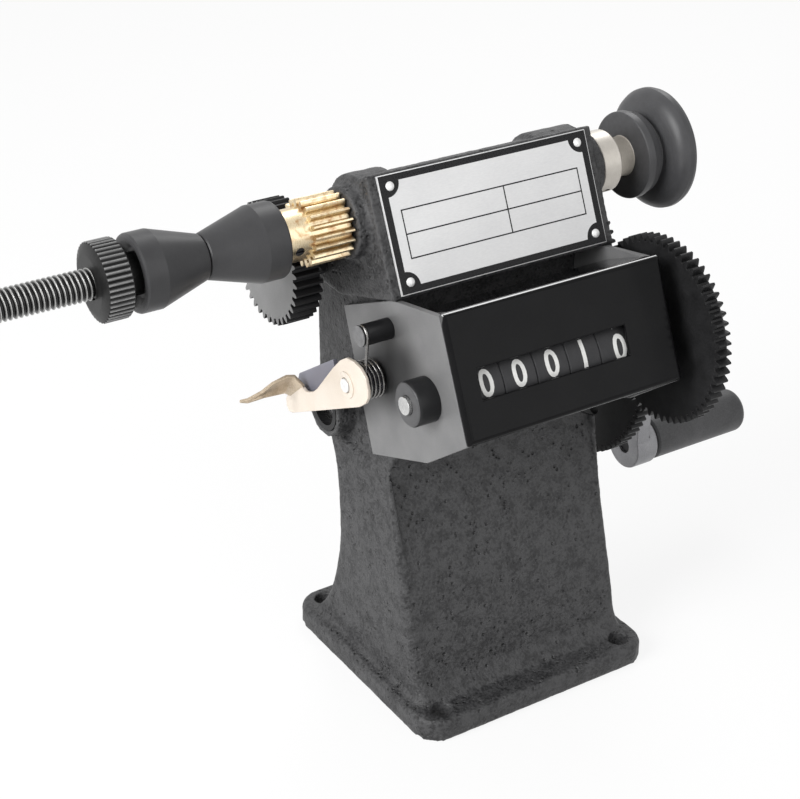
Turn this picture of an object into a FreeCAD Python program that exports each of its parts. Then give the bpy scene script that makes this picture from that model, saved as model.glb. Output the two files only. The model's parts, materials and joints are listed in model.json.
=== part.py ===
import FreeCAD, Part
import math
import os

from FreeCAD import Placement, Rotation, Vector

# Hand-cranked coil winding machine. Millimetres, +Z up, spindle along X, counter facing -Y.
# The origin is the centre of the base's bolt holes, on the bench.

# Base and column
casting_width = 84.0
base_lip = 4.0
base_width = casting_width + 2.0 * base_lip
base_depth = 90.0
base_thickness = 8.0
base_corner = 9.0
base_rim_round = 2.0
bolt_inset_x = 9.0
bolt_inset_y = 6.8
bolt_spacing_x = base_width - 2.0 * bolt_inset_x
bolt_spacing_y = base_depth - 2.0 * bolt_inset_y
bolt_hole_radius = 3.3
column_top = 86.0
column_wall = 6.0
column_edge_round = 3.0
cavity_roof = 14.0
column_front = [(8.0, -36.0), (13.0, -31.5), (22.0, -29.0), (45.0, -22.7), (86.0, -14.5)]
column_back = [(86.0, 26.0), (77.0, 21.5), (62.0, 19.5), (45.0, 19.5), (33.0, 22.0), (20.0, 27.0), (8.0, 36.0)]
neck_inset = 3.6
neck_front = -2.0
neck_back = 35.0
neck_root = 4.0
sill_top = 97.0

# Shafts, as points in the YZ plane
spindle_y = 6.5
spindle_z = 167.0
countershaft_direction = -39.6
crank_direction = -99.3
gear_module = 1.0
pressure_angle = 20.0
backlash = 0.16
running_clearance = 0.05
air_gap = 0.3

# Tooth counts and profile shifts
brass_teeth = 19
left_teeth = 38
crank_teeth = 84
crank_pinion_teeth = 21
counter_pinion_teeth = 12
idler_teeth = 32
counter_teeth = 60
counter_train_shift = 0.4

# Head
head_half_width = casting_width / 2.0
neck_half_width = head_half_width - neck_inset
head_radius = 12.6
head_heel = (14.0, 139.0)
rear_boss_radius = 10.5
hump_rise = 1.8
left_hump_width = 12.5
right_hump_width = 17.0
spindle_boss_radius = 11.5
left_boss_length = 4.3
right_boss_length = 5.3
shaft_boss_radius = 10.0
idler_boss_radius = 6.5

# Nameplate
plate_tilt = 23.5
plate_margin = 3.1
plate_width = casting_width - 2.0 * plate_margin
plate_height = 36.7
plate_thickness = 0.8
plate_middle_z = 166.8
plate_middle_y = -10.0
rivet_inset_x = 4.4
rivet_inset_up = 4.15
rivet_spacing_x = plate_width - 2.0 * rivet_inset_x
rivet_spacing_up = plate_height - 2.0 * rivet_inset_up
rivet_radius = 1.3
rivet_head_radius = 1.7
rivet_head_height = 0.6
rivet_length = 5.0

# Counter
counter_tilt = 23.1
counter_face_y = -49.1
counter_face_z = 135.8
side_plate_thickness = 2.0
plate_inner_x = neck_half_width
plate_outer_x = plate_inner_x + side_plate_thickness
counter_height = 40.2
cover_wall = 1.6
cover_rim = 2.2
cover_top_depth = 24.0
cover_bottom_depth = 7.0
cover_corner = 1.8
cover_lap = 0.4
cover_end_depth = 4.0
window_margin = 2.4
window_height = 9.6
window_middle_up = -3.0
wheel_count = 5
wheel_margin_left = 3.1
wheel_margin_right = 13.7
wheel_pitch = (2.0 * plate_inner_x - wheel_margin_left - wheel_margin_right) / wheel_count
window_width = wheel_count * wheel_pitch - 2.0 * window_margin
window_middle_x = -plate_inner_x + wheel_margin_left + wheel_count * wheel_pitch / 2.0
wheel_gap = 0.6
wheel_depth = 18.6
wheel_drop = 5.64
wheel_face_gap = 0.4
wheel_bore_wall = 2.5
wheel_web = 1.6
wheel_rim = 1.8
counter_shaft_radius = 3.0
spacer_wall = 2.0
side_plate = [(-56.0, 117.0), (-33.8, 100.6), (-1.8, 88.3), (15.1, 134.7), (-14.3, 147.9), (-38.5, 152.5), (-43.0, 154.6)]
tie_bar_radius = 2.2
tie_bars = [(-26.0, 142.0), (-27.0, 103.5), (-6.5, 104.0)]
plate_screws = [(6.0, 125.0), (-0.5, 103.0)]

# Spindle, stations along X
brass_boss_gap = 0.7
brass_teeth_width = 13.5
brass_hub_length = 8.2
brass_hub_radius = 8.2
brass_teeth_right = -head_half_width - left_boss_length - brass_boss_gap
brass_teeth_left = brass_teeth_right - brass_teeth_width
brass_hub_left = brass_teeth_left - brass_hub_length
thread_radius = 4.75
thread_shoulder_gap = 1.3
thread_shoulder = brass_hub_left - thread_shoulder_gap
spindle_radius = 5.0
cone_length = 24.1
cone_band = 7.5
cone_pocket_depth = 3.0
cone_rim_chamfer = 0.8
cone_large_radius = 11.9
cone_small_radius = 7.1
cone_right = brass_hub_left - air_gap
cone_band_left = cone_right - cone_band
cone_small_end = cone_right - cone_length
outer_cone_length = 22.6
outer_cone_band = 7.0
outer_cone_left = cone_small_end - air_gap - outer_cone_length
outer_cone_band_right = outer_cone_left + outer_cone_band
cone_dish_depth = 2.2
cone_dish_radius = 9.6
nut_cone_gap = 3.4
nut_width = 9.2
nut_right = outer_cone_left - nut_cone_gap
nut_left = nut_right - nut_width
nut_radius = 12.0
nut_face_slope = 3.6
nut_chamfer = 1.4
nut_knurls = 44
nut_knurl_depth = 0.7
nut_spigot_radius = 7.4
thread_reach = 39.4
thread_end = nut_left - thread_reach
collar_width = 7.4
collar_left = head_half_width + right_boss_length + air_gap
collar_right = collar_left + collar_width
collar_radius = 10.3
pulley_hub_radius = 6.6
pulley_hub_length = 7.8
pulley_width = 16.2
pulley_left = collar_right + pulley_hub_length
pulley_right = pulley_left + pulley_width
pulley_small_radius = 14.6
pulley_groove_radius = 10.5
pulley_large_radius = 21.9
pulley_small_rim = 3.2
pulley_large_rim = 7.0
pulley_rim_drop = 3.6
spindle_end_reach = 3.0
spindle_end = pulley_right + spindle_end_reach
set_screw_radius = 1.5
brass_screw_direction = 197.0
collar_screw_direction = 232.0

# Gear stations along X
left_gear_overhang = 0.4
left_gear_width = 9.6
left_gear_hub_wall = 3.5
left_gear_left = brass_teeth_left - left_gear_overhang
counter_gear_offset = 5.0
counter_gear_width = 4.8
counter_gear_hub_wall = 4.0
counter_nut_height = 2.8
counter_nut_radius = 5.4
shaft_tip = 0.6
counter_gear_left = head_half_width + counter_gear_offset
gear_face_gap = 2.4
crank_gear_left = counter_gear_left + counter_gear_width + gear_face_gap
crank_gear_width = 5.0
crank_gear_hub_wall = 4.0
crank_gear_outer_hub_wall = 5.0
crank_gear_outer_hub_length = 6.0
crank_gear_hole_circle = 27.0
crank_gear_hole_radius = 2.6
crank_gear_hole_direction = 232.0
gear_side_gap = 0.5
pinion_overhang = 0.8
spacer_overlap = 0.4
shaft_end_reach = 3.0
countershaft_end_reach = 2.0
countershaft_radius = 4.0
crank_shaft_radius = 6.0
idler_stud_radius = 3.0
idler_stud_depth = 12.0
idler_shoulder_wall = 1.5
idler_shoulder_length = 0.6
boss_face_x = counter_gear_left - gear_side_gap - idler_shoulder_length
bush_wall = 1.8
bush_length = 14.0
clip_thickness = 1.0
clip_wall = 2.4
clip_groove = 0.4

# Fixings
screw_radius = 1.6
screw_head_radius = 3.0
screw_head_height = 1.6
screw_depth = 6.0
screw_slot_width = 0.8
screw_slot_depth = 0.7
crank_screw_inset = 14.4
crank_screw_x = -neck_half_width + crank_screw_inset
crank_screw_radius = 2.0
crank_groove_depth = 1.0
crank_end_recess = 3.0

# Crank
arm_gap = 1.2
arm_left = spindle_end + arm_gap
arm_thickness = 6.0
arm_half_width = 8.0
arm_head_wall = 5.0
crank_end_reach = 1.0
cap_height = 2.5
cap_lip = 3.0
arm_length = 53.6
handle_boss_radius = 9.0
handle_boss_length = 10.5
handle_boss_chamfer = 1.4
handle_pin_radius = 3.0
handle_pin_inset = 1.0
handle_cap_lip = 2.0
handle_cap_height = 3.0
handle_pocket_depth = 5.0
handle_radius = 8.4
handle_length = 43.5
handle_end_round = 3.0

# Reset lever, its spring and studs
lever_pivot_y = -5.75
lever_pivot_z = 118.56
lever_thickness = 1.6
lever_stand_off = 10.4
lever_leaf_gap = 1.4
lever_tab_length = 20.0
lever_tab_low = (37.9, -19.5)
lever_tab_high = (29.5, -13.4)
lever_tab_narrowing = 0.3
lever_outline = [(0.1, 9.4), (-4.0, 9.9), (-8.0, 9.2), (-11.1, 7.1), (-12.6, 3.4), (-12.4, 0.8), (-11.0, -1.6), (-7.1, -4.6),
                 (22.3, -19.5), (35.8, -26.4), (38.4, -26.9), (39.8, -25.4), (40.0, -22.6), lever_tab_low,
                 lever_tab_high, (26.6, -14.1), (24.1, -13.3), (21.4, -11.9), (19.0, -9.8), (8.9, 1.9), (4.0, 6.9)]
lever_leaf = [(13.0, 2.6), (32.4, -10.1), (35.2, -12.0), (36.1, -14.4), (35.0, -16.8), (32.0, -17.8), (28.5, -17.0), (10.0, -4.6)]
lever_bend = [(29.0, -15.0), (34.4, -17.3), (32.0, -17.8), (28.5, -17.0)]
lever_pin_radius = 2.4
lever_pin_lip = 1.6
lever_pin_head = 1.2
lever_pin_seat = 0.2
lever_bush_radius = 4.3
spring_wire_radius = 0.5
spring_radius = 6.0
spring_turns = 5
spring_pitch = 1.45
spring_side_gap = 1.0
spring_hook_turn = 110.0
spring_leg_length = 9.0
spring_seat_gap = 0.05
stud_y = -12.05
stud_z = 137.75
stud_radius = 3.4
stud_length = 10.9
stud_neck = 0.7
stud_tail_radius = 2.2
end_boss_radius = 7.2
end_boss_length = 7.6
end_boss_round = 1.0
end_shaft_reach = 1.4


def polar(center, angle_degrees, distance):
    angle = math.radians(angle_degrees)
    return (center[0] + distance * math.cos(angle), center[1] + distance * math.sin(angle))


def pitch_radius(teeth):
    return gear_module * teeth / 2.0


def center_distance(teeth_a, teeth_b):
    return pitch_radius(teeth_a) + pitch_radius(teeth_b)


def direction(start, end):
    return math.degrees(math.atan2(end[1] - start[1], end[0] - start[0]))


def tilted(height, depth, tilt, face_y, face_z):
    # A point in the YZ plane: height runs up a leaning face, depth runs into it.
    lean = math.radians(tilt)
    y = face_y + height * math.sin(lean) + depth * math.cos(lean)
    z = face_z + height * math.cos(lean) - depth * math.sin(lean)
    return (y, z)


def on_counter(height, depth):
    return tilted(height, depth, counter_tilt, counter_face_y, counter_face_z)


def on_plate(height, depth):
    return tilted(height, depth, plate_tilt, plate_middle_y, plate_middle_z)


spindle_axis = (spindle_y, spindle_z)
countershaft_axis = polar(spindle_axis, countershaft_direction, center_distance(brass_teeth, left_teeth))
crank_axis = polar(countershaft_axis, crank_direction, center_distance(crank_teeth, crank_pinion_teeth))
counter_axis = on_counter(-wheel_drop, wheel_depth)
idler_from_countershaft = center_distance(counter_pinion_teeth, idler_teeth)
idler_from_counter = center_distance(idler_teeth, counter_teeth)


def idler_center():
    # The idler's place closes the triangle between the countershaft and the counter's shaft.
    span = math.dist(countershaft_axis, counter_axis)
    along = (idler_from_countershaft ** 2 - idler_from_counter ** 2 + span ** 2) / (2.0 * span)
    turn = math.degrees(math.acos(along / idler_from_countershaft))
    return polar(countershaft_axis, direction(countershaft_axis, counter_axis) + turn, idler_from_countershaft)


idler_axis = idler_center()
lever_axis = (lever_pivot_y, lever_pivot_z)
wheel_radius = wheel_depth - cover_wall - wheel_face_gap


def cylinder(left, right, axis, radius):
    return Part.makeCylinder(radius, right - left, Vector(left, axis[0], axis[1]), Vector(1, 0, 0))


def ring(left, right, axis, outer, inner):
    return cylinder(left, right, axis, outer).cut(cylinder(left - 1.0, right + 1.0, axis, inner))


def slab(points, left, right):
    # A prism along X from a closed outline of (y, z) points.
    corners = [Vector(left, y, z) for y, z in points]
    outline = Part.makePolygon(corners + corners[:1])
    return Part.Face(outline).extrude(Vector(right - left, 0, 0))


def block(left, right, front, back, bottom, top):
    return Part.makeBox(right - left, back - front, top - bottom, Vector(left, front, bottom))


def turned(profile, axis):
    # A body of revolution about X. Entries are (x, r), or (x, r, x, r) for an arc's middle and end.
    start = Vector(profile[0][0], axis[0], axis[1] + profile[0][1])
    edges = []
    here = start
    for entry in profile[1:]:
        end = Vector(entry[-2], axis[0], axis[1] + entry[-1])
        if len(entry) == 4:
            middle = Vector(entry[0], axis[0], axis[1] + entry[1])
            edges.append(Part.Arc(here, middle, end).toShape())
        else:
            edges.append(Part.makeLine(here, end))
        here = end
    edges.append(Part.makeLine(here, start))
    face = Part.Face(Part.Wire(edges))
    return face.revolve(Vector(0, axis[0], axis[1]), Vector(1, 0, 0), 360)


def drilled(shape, left, right, axis, radius):
    return shape.cut(cylinder(left, right, axis, radius))


def rolling_angle(radius, base_radius):
    return math.sqrt(max((radius / base_radius) ** 2 - 1.0, 0.0))


def tooth_half_angle(radius, teeth, shift):
    # Half the angle that a tooth takes at this radius, less half the backlash.
    pressure = math.radians(pressure_angle)
    reference = pitch_radius(teeth)
    thickness = gear_module * (math.pi / 2.0 + 2.0 * shift * math.tan(pressure)) - backlash / 2.0
    base_radius = reference * math.cos(pressure)
    roll = rolling_angle(max(radius, base_radius), base_radius)
    involute = roll - math.atan(roll)
    return thickness / (2.0 * reference) + math.tan(pressure) - pressure - involute


def gear_blank(teeth, shift, left, width, axis, phase):
    # An involute gear; phase is the direction of the middle of one tooth, in degrees.
    reference = pitch_radius(teeth)
    tip = reference + gear_module * (1.0 + shift)
    root = reference - gear_module * (1.25 - shift)
    base_radius = reference * math.cos(math.radians(pressure_angle))
    start = max(root, base_radius)
    flank = [start + (tip - start) * step / 3.0 for step in range(4)]
    pitch_angle = 360.0 / teeth

    def spot(radius, angle):
        y, z = polar(axis, angle, radius)
        return Vector(left, y, z)

    edges = []
    for tooth in range(teeth):
        middle = phase + tooth * pitch_angle
        rising = [(r, middle - math.degrees(tooth_half_angle(r, teeth, shift))) for r in flank]
        falling = [(r, middle + math.degrees(tooth_half_angle(r, teeth, shift))) for r in reversed(flank)]
        for side in (rising, falling):
            if root < start and side is rising:
                edges.append(Part.makeLine(spot(root, side[0][1]), spot(*side[0])))
            curve = Part.BSplineCurve()
            curve.interpolate([spot(r, a) for r, a in side])
            edges.append(curve.toShape())
            if side is rising:
                edges.append(Part.Arc(spot(*side[-1]), spot(tip, middle), spot(*falling[0])).toShape())
        if root < start:
            edges.append(Part.makeLine(spot(*falling[-1]), spot(root, falling[-1][1])))
        gap_start = falling[-1][1]
        gap_end = rising[0][1] + pitch_angle
        edges.append(Part.Arc(spot(root, gap_start), spot(root, (gap_start + gap_end) / 2.0), spot(root, gap_end)).toShape())
    return Part.Face(Part.Wire(edges)).extrude(Vector(width, 0, 0))


def meshing_phase(teeth_a, axis_a, phase_a, teeth_b, axis_b):
    # The second gear's phase that sets one of its gaps on a tooth of the first.
    toward = direction(axis_a, axis_b)
    teeth_past = (phase_a - toward) * teeth_a / 360.0
    return toward + 180.0 + (0.5 - teeth_past) * 360.0 / teeth_b


left_phase = meshing_phase(brass_teeth, spindle_axis, 0.0, left_teeth, countershaft_axis)
crank_phase = meshing_phase(crank_pinion_teeth, countershaft_axis, 0.0, crank_teeth, crank_axis)
idler_phase = meshing_phase(counter_pinion_teeth, countershaft_axis, 0.0, idler_teeth, idler_axis)
counter_phase = meshing_phase(idler_teeth, idler_axis, idler_phase, counter_teeth, counter_axis)


def base_flange():
    half_x = base_width / 2.0
    half_y = base_depth / 2.0
    plate = block(-half_x, half_x, -half_y, half_y, 0.0, base_thickness)
    corners = [edge for edge in plate.Edges if edge.BoundBox.ZLength > base_thickness / 2.0]
    plate = plate.makeFillet(base_corner, corners)
    rims = [edge for edge in plate.Edges if edge.BoundBox.ZMin > base_thickness - 0.1]
    return plate.makeFillet(base_rim_round, rims)


def column_side(points, inset):
    # A smooth flank through the listed stations, moved in by the wall where it bounds the cavity.
    curve = Part.BSplineCurve()
    curve.interpolate([Vector(0, y + inset, z) for z, y in points])
    return curve.toShape()


def column_prism(front, back, front_inset, back_inset, bottom, half_width):
    front_edge = column_side(front, front_inset)
    back_edge = column_side(back, back_inset)
    front_low = Vector(0, front[0][1] + front_inset, bottom)
    back_low = Vector(0, back[-1][1] + back_inset, bottom)
    edges = [front_edge, Part.makeLine(front_edge.Vertexes[-1].Point, back_edge.Vertexes[0].Point), back_edge]
    if bottom < front[0][0]:
        edges.append(Part.makeLine(back_edge.Vertexes[-1].Point, back_low))
        edges.append(Part.makeLine(back_low, front_low))
        edges.append(Part.makeLine(front_low, front_edge.Vertexes[0].Point))
    else:
        edges.append(Part.makeLine(back_edge.Vertexes[-1].Point, front_edge.Vertexes[0].Point))
    face = Part.Face(Part.Wire(edges))
    face.translate(Vector(-half_width, 0, 0))
    return face.extrude(Vector(2.0 * half_width, 0, 0))


def column():
    body = column_prism(column_front, column_back, 0.0, 0.0, column_front[0][0], head_half_width)
    upright = [edge for edge in body.Edges if abs(abs(edge.CenterOfMass.x) - head_half_width) < 0.1]
    upright = [edge for edge in upright if edge.CenterOfMass.z > base_thickness + 1.0]
    return body.makeFillet(column_edge_round, upright)


def column_cavity():
    roof = column_top - cavity_roof
    front = [(z, y) for z, y in column_front if z < roof] + [(roof, column_front[-1][1])]
    back = [(roof, column_back[1][1])] + [(z, y) for z, y in column_back if z < roof]
    return column_prism(front, back, column_wall, -column_wall, -1.0, head_half_width - column_wall)


def neck():
    bottom = column_top - neck_root
    upright = block(-neck_half_width, neck_half_width, neck_front, neck_back, bottom, countershaft_axis[1])
    sill = block(-neck_half_width, neck_half_width, column_front[-1][1], neck_back, bottom, sill_top)
    return upright.fuse(sill)


def head():
    low_front = on_plate(-plate_height / 2.0 - 1.0, plate_thickness)
    top_front = on_plate(plate_height / 2.0 + 1.0, plate_thickness)
    crown = polar(spindle_axis, 90.0, head_radius)
    shoulder = polar(spindle_axis, 20.0, head_radius)
    rear = polar(countershaft_axis, 20.0, rear_boss_radius)
    under_rear = polar(countershaft_axis, 250.0, rear_boss_radius)
    outline = [low_front, top_front, crown, shoulder, rear, under_rear, head_heel]
    body = slab(outline, -head_half_width, head_half_width)
    body = body.fuse(cylinder(-head_half_width, head_half_width, spindle_axis, head_radius))
    body = body.fuse(cylinder(-head_half_width, head_half_width, countershaft_axis, rear_boss_radius))
    hump_radius = head_radius + hump_rise
    left_hump = cylinder(-head_half_width, left_hump_width - head_half_width, spindle_axis, hump_radius)
    right_hump = cylinder(head_half_width - right_hump_width, head_half_width, spindle_axis, hump_radius)
    front_cut = slab([low_front, top_front, polar(top_front, 90.0, 30.0), polar(low_front, 180.0, 60.0)],
                     -head_half_width - 1.0, head_half_width + 1.0)
    humps = left_hump.fuse(right_hump).cut(front_cut)
    body = body.cut(front_cut).fuse(humps)
    left_boss = cylinder(-head_half_width - left_boss_length, -head_half_width, spindle_axis, spindle_boss_radius)
    right_boss = cylinder(head_half_width, head_half_width + right_boss_length, spindle_axis, spindle_boss_radius)
    return body.fuse(left_boss).fuse(right_boss)


def side_bosses():
    crank = cylinder(-boss_face_x, boss_face_x, crank_axis, shaft_boss_radius)
    idler = cylinder(neck_half_width - 1.0, boss_face_x, idler_axis, idler_boss_radius)
    return crank.fuse(idler)


def frame_casting():
    body = base_flange().fuse(column()).fuse(neck()).fuse(head()).fuse(side_bosses())
    body = body.cut(column_cavity())
    for x in (-bolt_spacing_x / 2.0, bolt_spacing_x / 2.0):
        for y in (-bolt_spacing_y / 2.0, bolt_spacing_y / 2.0):
            body = body.cut(Part.makeCylinder(bolt_hole_radius, base_thickness + 2.0, Vector(x, y, -1.0)))
    body = drilled(body, brass_teeth_right, collar_left, spindle_axis, bush_outer(spindle_radius))
    body = drilled(body, brass_teeth_right, collar_left, countershaft_axis, bush_outer(countershaft_radius))
    body = drilled(body, -boss_face_x - 1.0, boss_face_x + 1.0, crank_axis, bush_outer(crank_shaft_radius))
    body = drilled(body, neck_half_width - idler_stud_depth, boss_face_x + 1.0, idler_axis, idler_stud_radius)
    body = body.cut(crank_screw_shank(neck_back + 1.0))
    for spot in plate_screws:
        body = drilled(body, neck_half_width - screw_depth, neck_half_width + 1.0, spot, screw_radius)
    for x, height in rivet_places():
        body = body.cut(rivet_shank(x, height))
    return body.removeSplitter()


def bush_outer(shaft_radius):
    return shaft_radius + running_clearance + bush_wall


def bush_pair(shaft_radius, axis, left_end, right_end):
    inner = shaft_radius + running_clearance
    left = ring(left_end, left_end + bush_length, axis, bush_outer(shaft_radius), inner)
    right = ring(right_end - bush_length, right_end, axis, bush_outer(shaft_radius), inner)
    return Part.makeCompound([left, right])


def spindle_bushes():
    left_end = -head_half_width - left_boss_length
    return bush_pair(spindle_radius, spindle_axis, left_end, head_half_width + right_boss_length)


def countershaft_bushes():
    return bush_pair(countershaft_radius, countershaft_axis, -head_half_width, head_half_width)


def crank_bushes():
    return bush_pair(crank_shaft_radius, crank_axis, -boss_face_x, boss_face_x)


def rivet_places():
    half_x = rivet_spacing_x / 2.0
    half_up = rivet_spacing_up / 2.0
    return [(-half_x, half_up), (half_x, half_up), (half_x, -half_up), (-half_x, -half_up)]


def plate_normal():
    lean = math.radians(plate_tilt)
    return Vector(0, -math.cos(lean), math.sin(lean))


def rivet_shank(x, height):
    y, z = on_plate(height, plate_thickness + rivet_length)
    return Part.makeCylinder(rivet_radius, rivet_length + 0.1, Vector(x, y, z), plate_normal())


def nameplate():
    corners = []
    for height, depth in ((-0.5, 0.0), (0.5, 0.0), (0.5, 1.0), (-0.5, 1.0)):
        corners.append(on_plate(height * plate_height, depth * plate_thickness))
    plate = slab(corners, -plate_width / 2.0, plate_width / 2.0)
    for x, height in rivet_places():
        y, z = on_plate(height, plate_thickness + 1.0)
        hole = Part.makeCylinder(rivet_radius, plate_thickness + 2.0, Vector(x, y, z), plate_normal())
        plate = plate.cut(hole)
    return plate


def nameplate_rivets():
    rivets = []
    for x, height in rivet_places():
        y, z = on_plate(height, plate_thickness + rivet_length)
        shank = Part.makeCylinder(rivet_radius, rivet_length + plate_thickness, Vector(x, y, z), plate_normal())
        y, z = on_plate(height, 0.0)
        rivet_head = Part.makeCylinder(rivet_head_radius, rivet_head_height, Vector(x, y, z), plate_normal())
        rivets.append(shank.fuse(rivet_head).removeSplitter())
    return Part.makeCompound(rivets)


def counter_prism(low, high, near, far, left, right):
    # A box that leans with the counter's face.
    corners = [on_counter(low, near), on_counter(high, near), on_counter(high, far), on_counter(low, far)]
    return slab(corners, left, right)


def counter_cover():
    half = counter_height / 2.0
    side = plate_outer_x
    inner_side = plate_inner_x - air_gap
    shell = counter_prism(-half, half, 0.0, cover_rim, -side, side)
    edges = [e for e in shell.Edges if face_depth(e.CenterOfMass) < 0.1]
    shell = shell.makeFillet(cover_corner, edges)
    channel = counter_prism(-half, half, cover_rim - cover_lap, cover_top_depth, -inner_side, inner_side)
    shell = shell.fuse(channel)
    hollow = counter_prism(-half + cover_wall, half - cover_wall, cover_wall, cover_top_depth + 1.0,
                           -inner_side + cover_wall, inner_side - cover_wall)
    shell = shell.cut(hollow)
    below = counter_prism(-half - 1.0, -half + cover_wall + 1.0, cover_bottom_depth, cover_top_depth + 1.0, -side, side)
    shell = shell.cut(below)
    ends = counter_prism(-half - 1.0, half - cover_wall, cover_rim + cover_end_depth, cover_top_depth + 1.0, -side, side)
    middle = counter_prism(-half - 2.0, half, cover_rim + cover_end_depth - 1.0, cover_top_depth + 2.0,
                           -inner_side + cover_wall + 0.1, inner_side - cover_wall - 0.1)
    shell = shell.cut(ends.cut(middle))
    window = counter_prism(window_middle_up - window_height / 2.0, window_middle_up + window_height / 2.0,
                           -1.0, cover_wall + 1.0,
                           window_middle_x - window_width / 2.0, window_middle_x + window_width / 2.0)
    return shell.cut(window).removeSplitter()


def face_depth(point):
    lean = math.radians(counter_tilt)
    return (point.y - counter_face_y) * math.cos(lean) - (point.z - counter_face_z) * math.sin(lean)


def counter_side(left, right):
    plate = slab(side_plate, left, right)
    rim = counter_prism(-counter_height, counter_height, -counter_height, cover_rim + air_gap / 3.0, left - 1.0, right + 1.0)
    return drilled(plate.cut(rim), left - 1.0, right + 1.0, counter_axis, counter_shaft_radius + running_clearance)


def side_plate_left():
    plate = counter_side(-plate_outer_x, -plate_inner_x)
    plate = drilled(plate, -plate_outer_x - 1.0, -plate_inner_x + 1.0, lever_axis, lever_pin_radius)
    return drilled(plate, -plate_outer_x - 1.0, -plate_inner_x + 1.0, (stud_y, stud_z), stud_tail_radius)


def side_plate_right():
    plate = counter_side(plate_inner_x, plate_outer_x)
    for spot in plate_screws:
        plate = drilled(plate, plate_inner_x - 1.0, plate_outer_x + 1.0, spot, screw_radius)
    return drilled(plate, plate_inner_x - 1.0, plate_outer_x + 1.0, idler_axis, idler_boss_radius + air_gap)


def counter_tie_bars():
    return Part.makeCompound([cylinder(-plate_inner_x, plate_inner_x, spot, tie_bar_radius) for spot in tie_bars])


def side_plate_screws():
    screws = []
    top = plate_outer_x + screw_head_height
    for y, z in plate_screws:
        shank = cylinder(neck_half_width - screw_depth, plate_outer_x, (y, z), screw_radius)
        cap = cylinder(plate_outer_x, top, (y, z), screw_head_radius)
        slot = block(top - screw_slot_depth, top + 1.0, y - 2.0 * screw_head_radius, y + 2.0 * screw_head_radius,
                     z - screw_slot_width / 2.0, z + screw_slot_width / 2.0)
        screws.append(shank.fuse(cap).removeSplitter().cut(slot))
    return Part.makeCompound(screws)


def counter_shaft_boss():
    left = -plate_outer_x - end_boss_length
    boss = ring(left, -plate_outer_x, counter_axis, end_boss_radius, counter_shaft_radius + running_clearance)
    outer = [e for e in boss.Edges if abs(e.CenterOfMass.x - left) < 0.01 and e.BoundBox.YLength > end_boss_radius + 1.0]
    return boss.makeFillet(end_boss_round, outer)


def spring_stud():
    left = -plate_outer_x - stud_length
    axis = (stud_y, stud_z)
    body = cylinder(left, -plate_outer_x, axis, stud_radius)
    middle = spring_first_x() - spring_slope() * spring_leg()
    half = spring_wire_radius + 0.1
    groove = ring(middle - half, middle + half, axis, stud_radius + 1.0, stud_radius - stud_neck)
    tail = cylinder(-plate_outer_x, -plate_inner_x, axis, stud_tail_radius)
    return body.cut(groove).fuse(tail).removeSplitter()


def lever_pin():
    seat = lever_outer_x() - lever_pin_seat
    shank = cylinder(seat, -plate_inner_x, lever_axis, lever_pin_radius)
    cap = cylinder(seat - lever_pin_head, seat, lever_axis, lever_pin_radius + lever_pin_lip)
    return shank.fuse(cap).removeSplitter()


def lever_outer_x():
    return -plate_outer_x - lever_stand_off - lever_thickness


def from_pivot(points):
    return [(lever_pivot_y + y, lever_pivot_z + z) for y, z in points]


def lever_tab():
    # The finger tab stands out from the plate's rear edge and narrows towards its tip.
    inner = lever_outer_x() + lever_thickness
    end = lever_outer_x() - lever_tab_length
    (low_y, low_z), (high_y, high_z) = from_pivot([lever_tab_low, lever_tab_high])
    across = Vector(0, high_y - low_y, high_z - low_z)
    into_plate = unit(Vector(0, -across.z, across.y)) * lever_thickness
    root_low = Vector(inner, low_y, low_z)
    tip_low = Vector(end, low_y, low_z) + across * lever_tab_narrowing
    tip_high = Vector(end, low_y, low_z) + across * (1.0 - lever_tab_narrowing)
    sheet = Part.makeRuledSurface(Part.makeLine(root_low, tip_low), Part.makeLine(root_low + across, tip_high))
    return sheet.extrude(into_plate)


def reset_lever():
    outer = lever_outer_x()
    inner = outer + lever_thickness
    leaf_left = inner + lever_leaf_gap
    leaf = slab(from_pivot(lever_leaf), leaf_left, leaf_left + lever_thickness)
    bend = slab(from_pivot(lever_bend), inner, leaf_left)
    bush = cylinder(inner, -plate_outer_x - air_gap, lever_axis, lever_bush_radius)
    body = slab(from_pivot(lever_outline), outer, inner).fuse(lever_tab()).fuse(leaf).fuse(bend).fuse(bush)
    return drilled(body, outer - 1.0, 0.0, lever_axis, lever_pin_radius + running_clearance).removeSplitter()


def unit(vector):
    copy = Vector(vector)
    return copy.normalize()


def arc_between(start, corner, end):
    # The arc that is tangent to start-corner at start and to corner-end at end.
    half_chord = (end - start) * 0.5
    middle = start + half_chord
    turn = (corner - start).getAngle(end - start)
    rise = math.tan(turn / 2.0) / math.tan(turn)
    return Part.Arc(start, middle + (corner - middle) * rise, end).toShape()


def biarc(start, start_way, end, end_way):
    span = end - start
    square = 2.0 - 2.0 * start_way.dot(end_way)
    linear = 2.0 * span.dot(start_way + end_way)
    reach = (-linear + math.sqrt(linear ** 2 + 4.0 * square * span.dot(span))) / (2.0 * square)
    first = start + start_way * reach
    second = end - end_way * reach
    joint = (first + second) * 0.5
    return [arc_between(start, first, joint), arc_between(joint, second, end)]


def spring_first_x():
    return lever_outer_x() + lever_thickness + spring_wire_radius + spring_side_gap


def hook_radius():
    return stud_radius - stud_neck + spring_wire_radius + spring_seat_gap


def leg_angle():
    # Direction from the lever's axis to where the straight leg leaves the turns for the stud.
    reach = math.dist(lever_axis, (stud_y, stud_z))
    offset = math.degrees(math.acos((spring_radius - hook_radius()) / reach))
    return direction(lever_axis, (stud_y, stud_z)) + offset


def spring_slope():
    return spring_pitch / (2.0 * math.pi * spring_radius)


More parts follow.
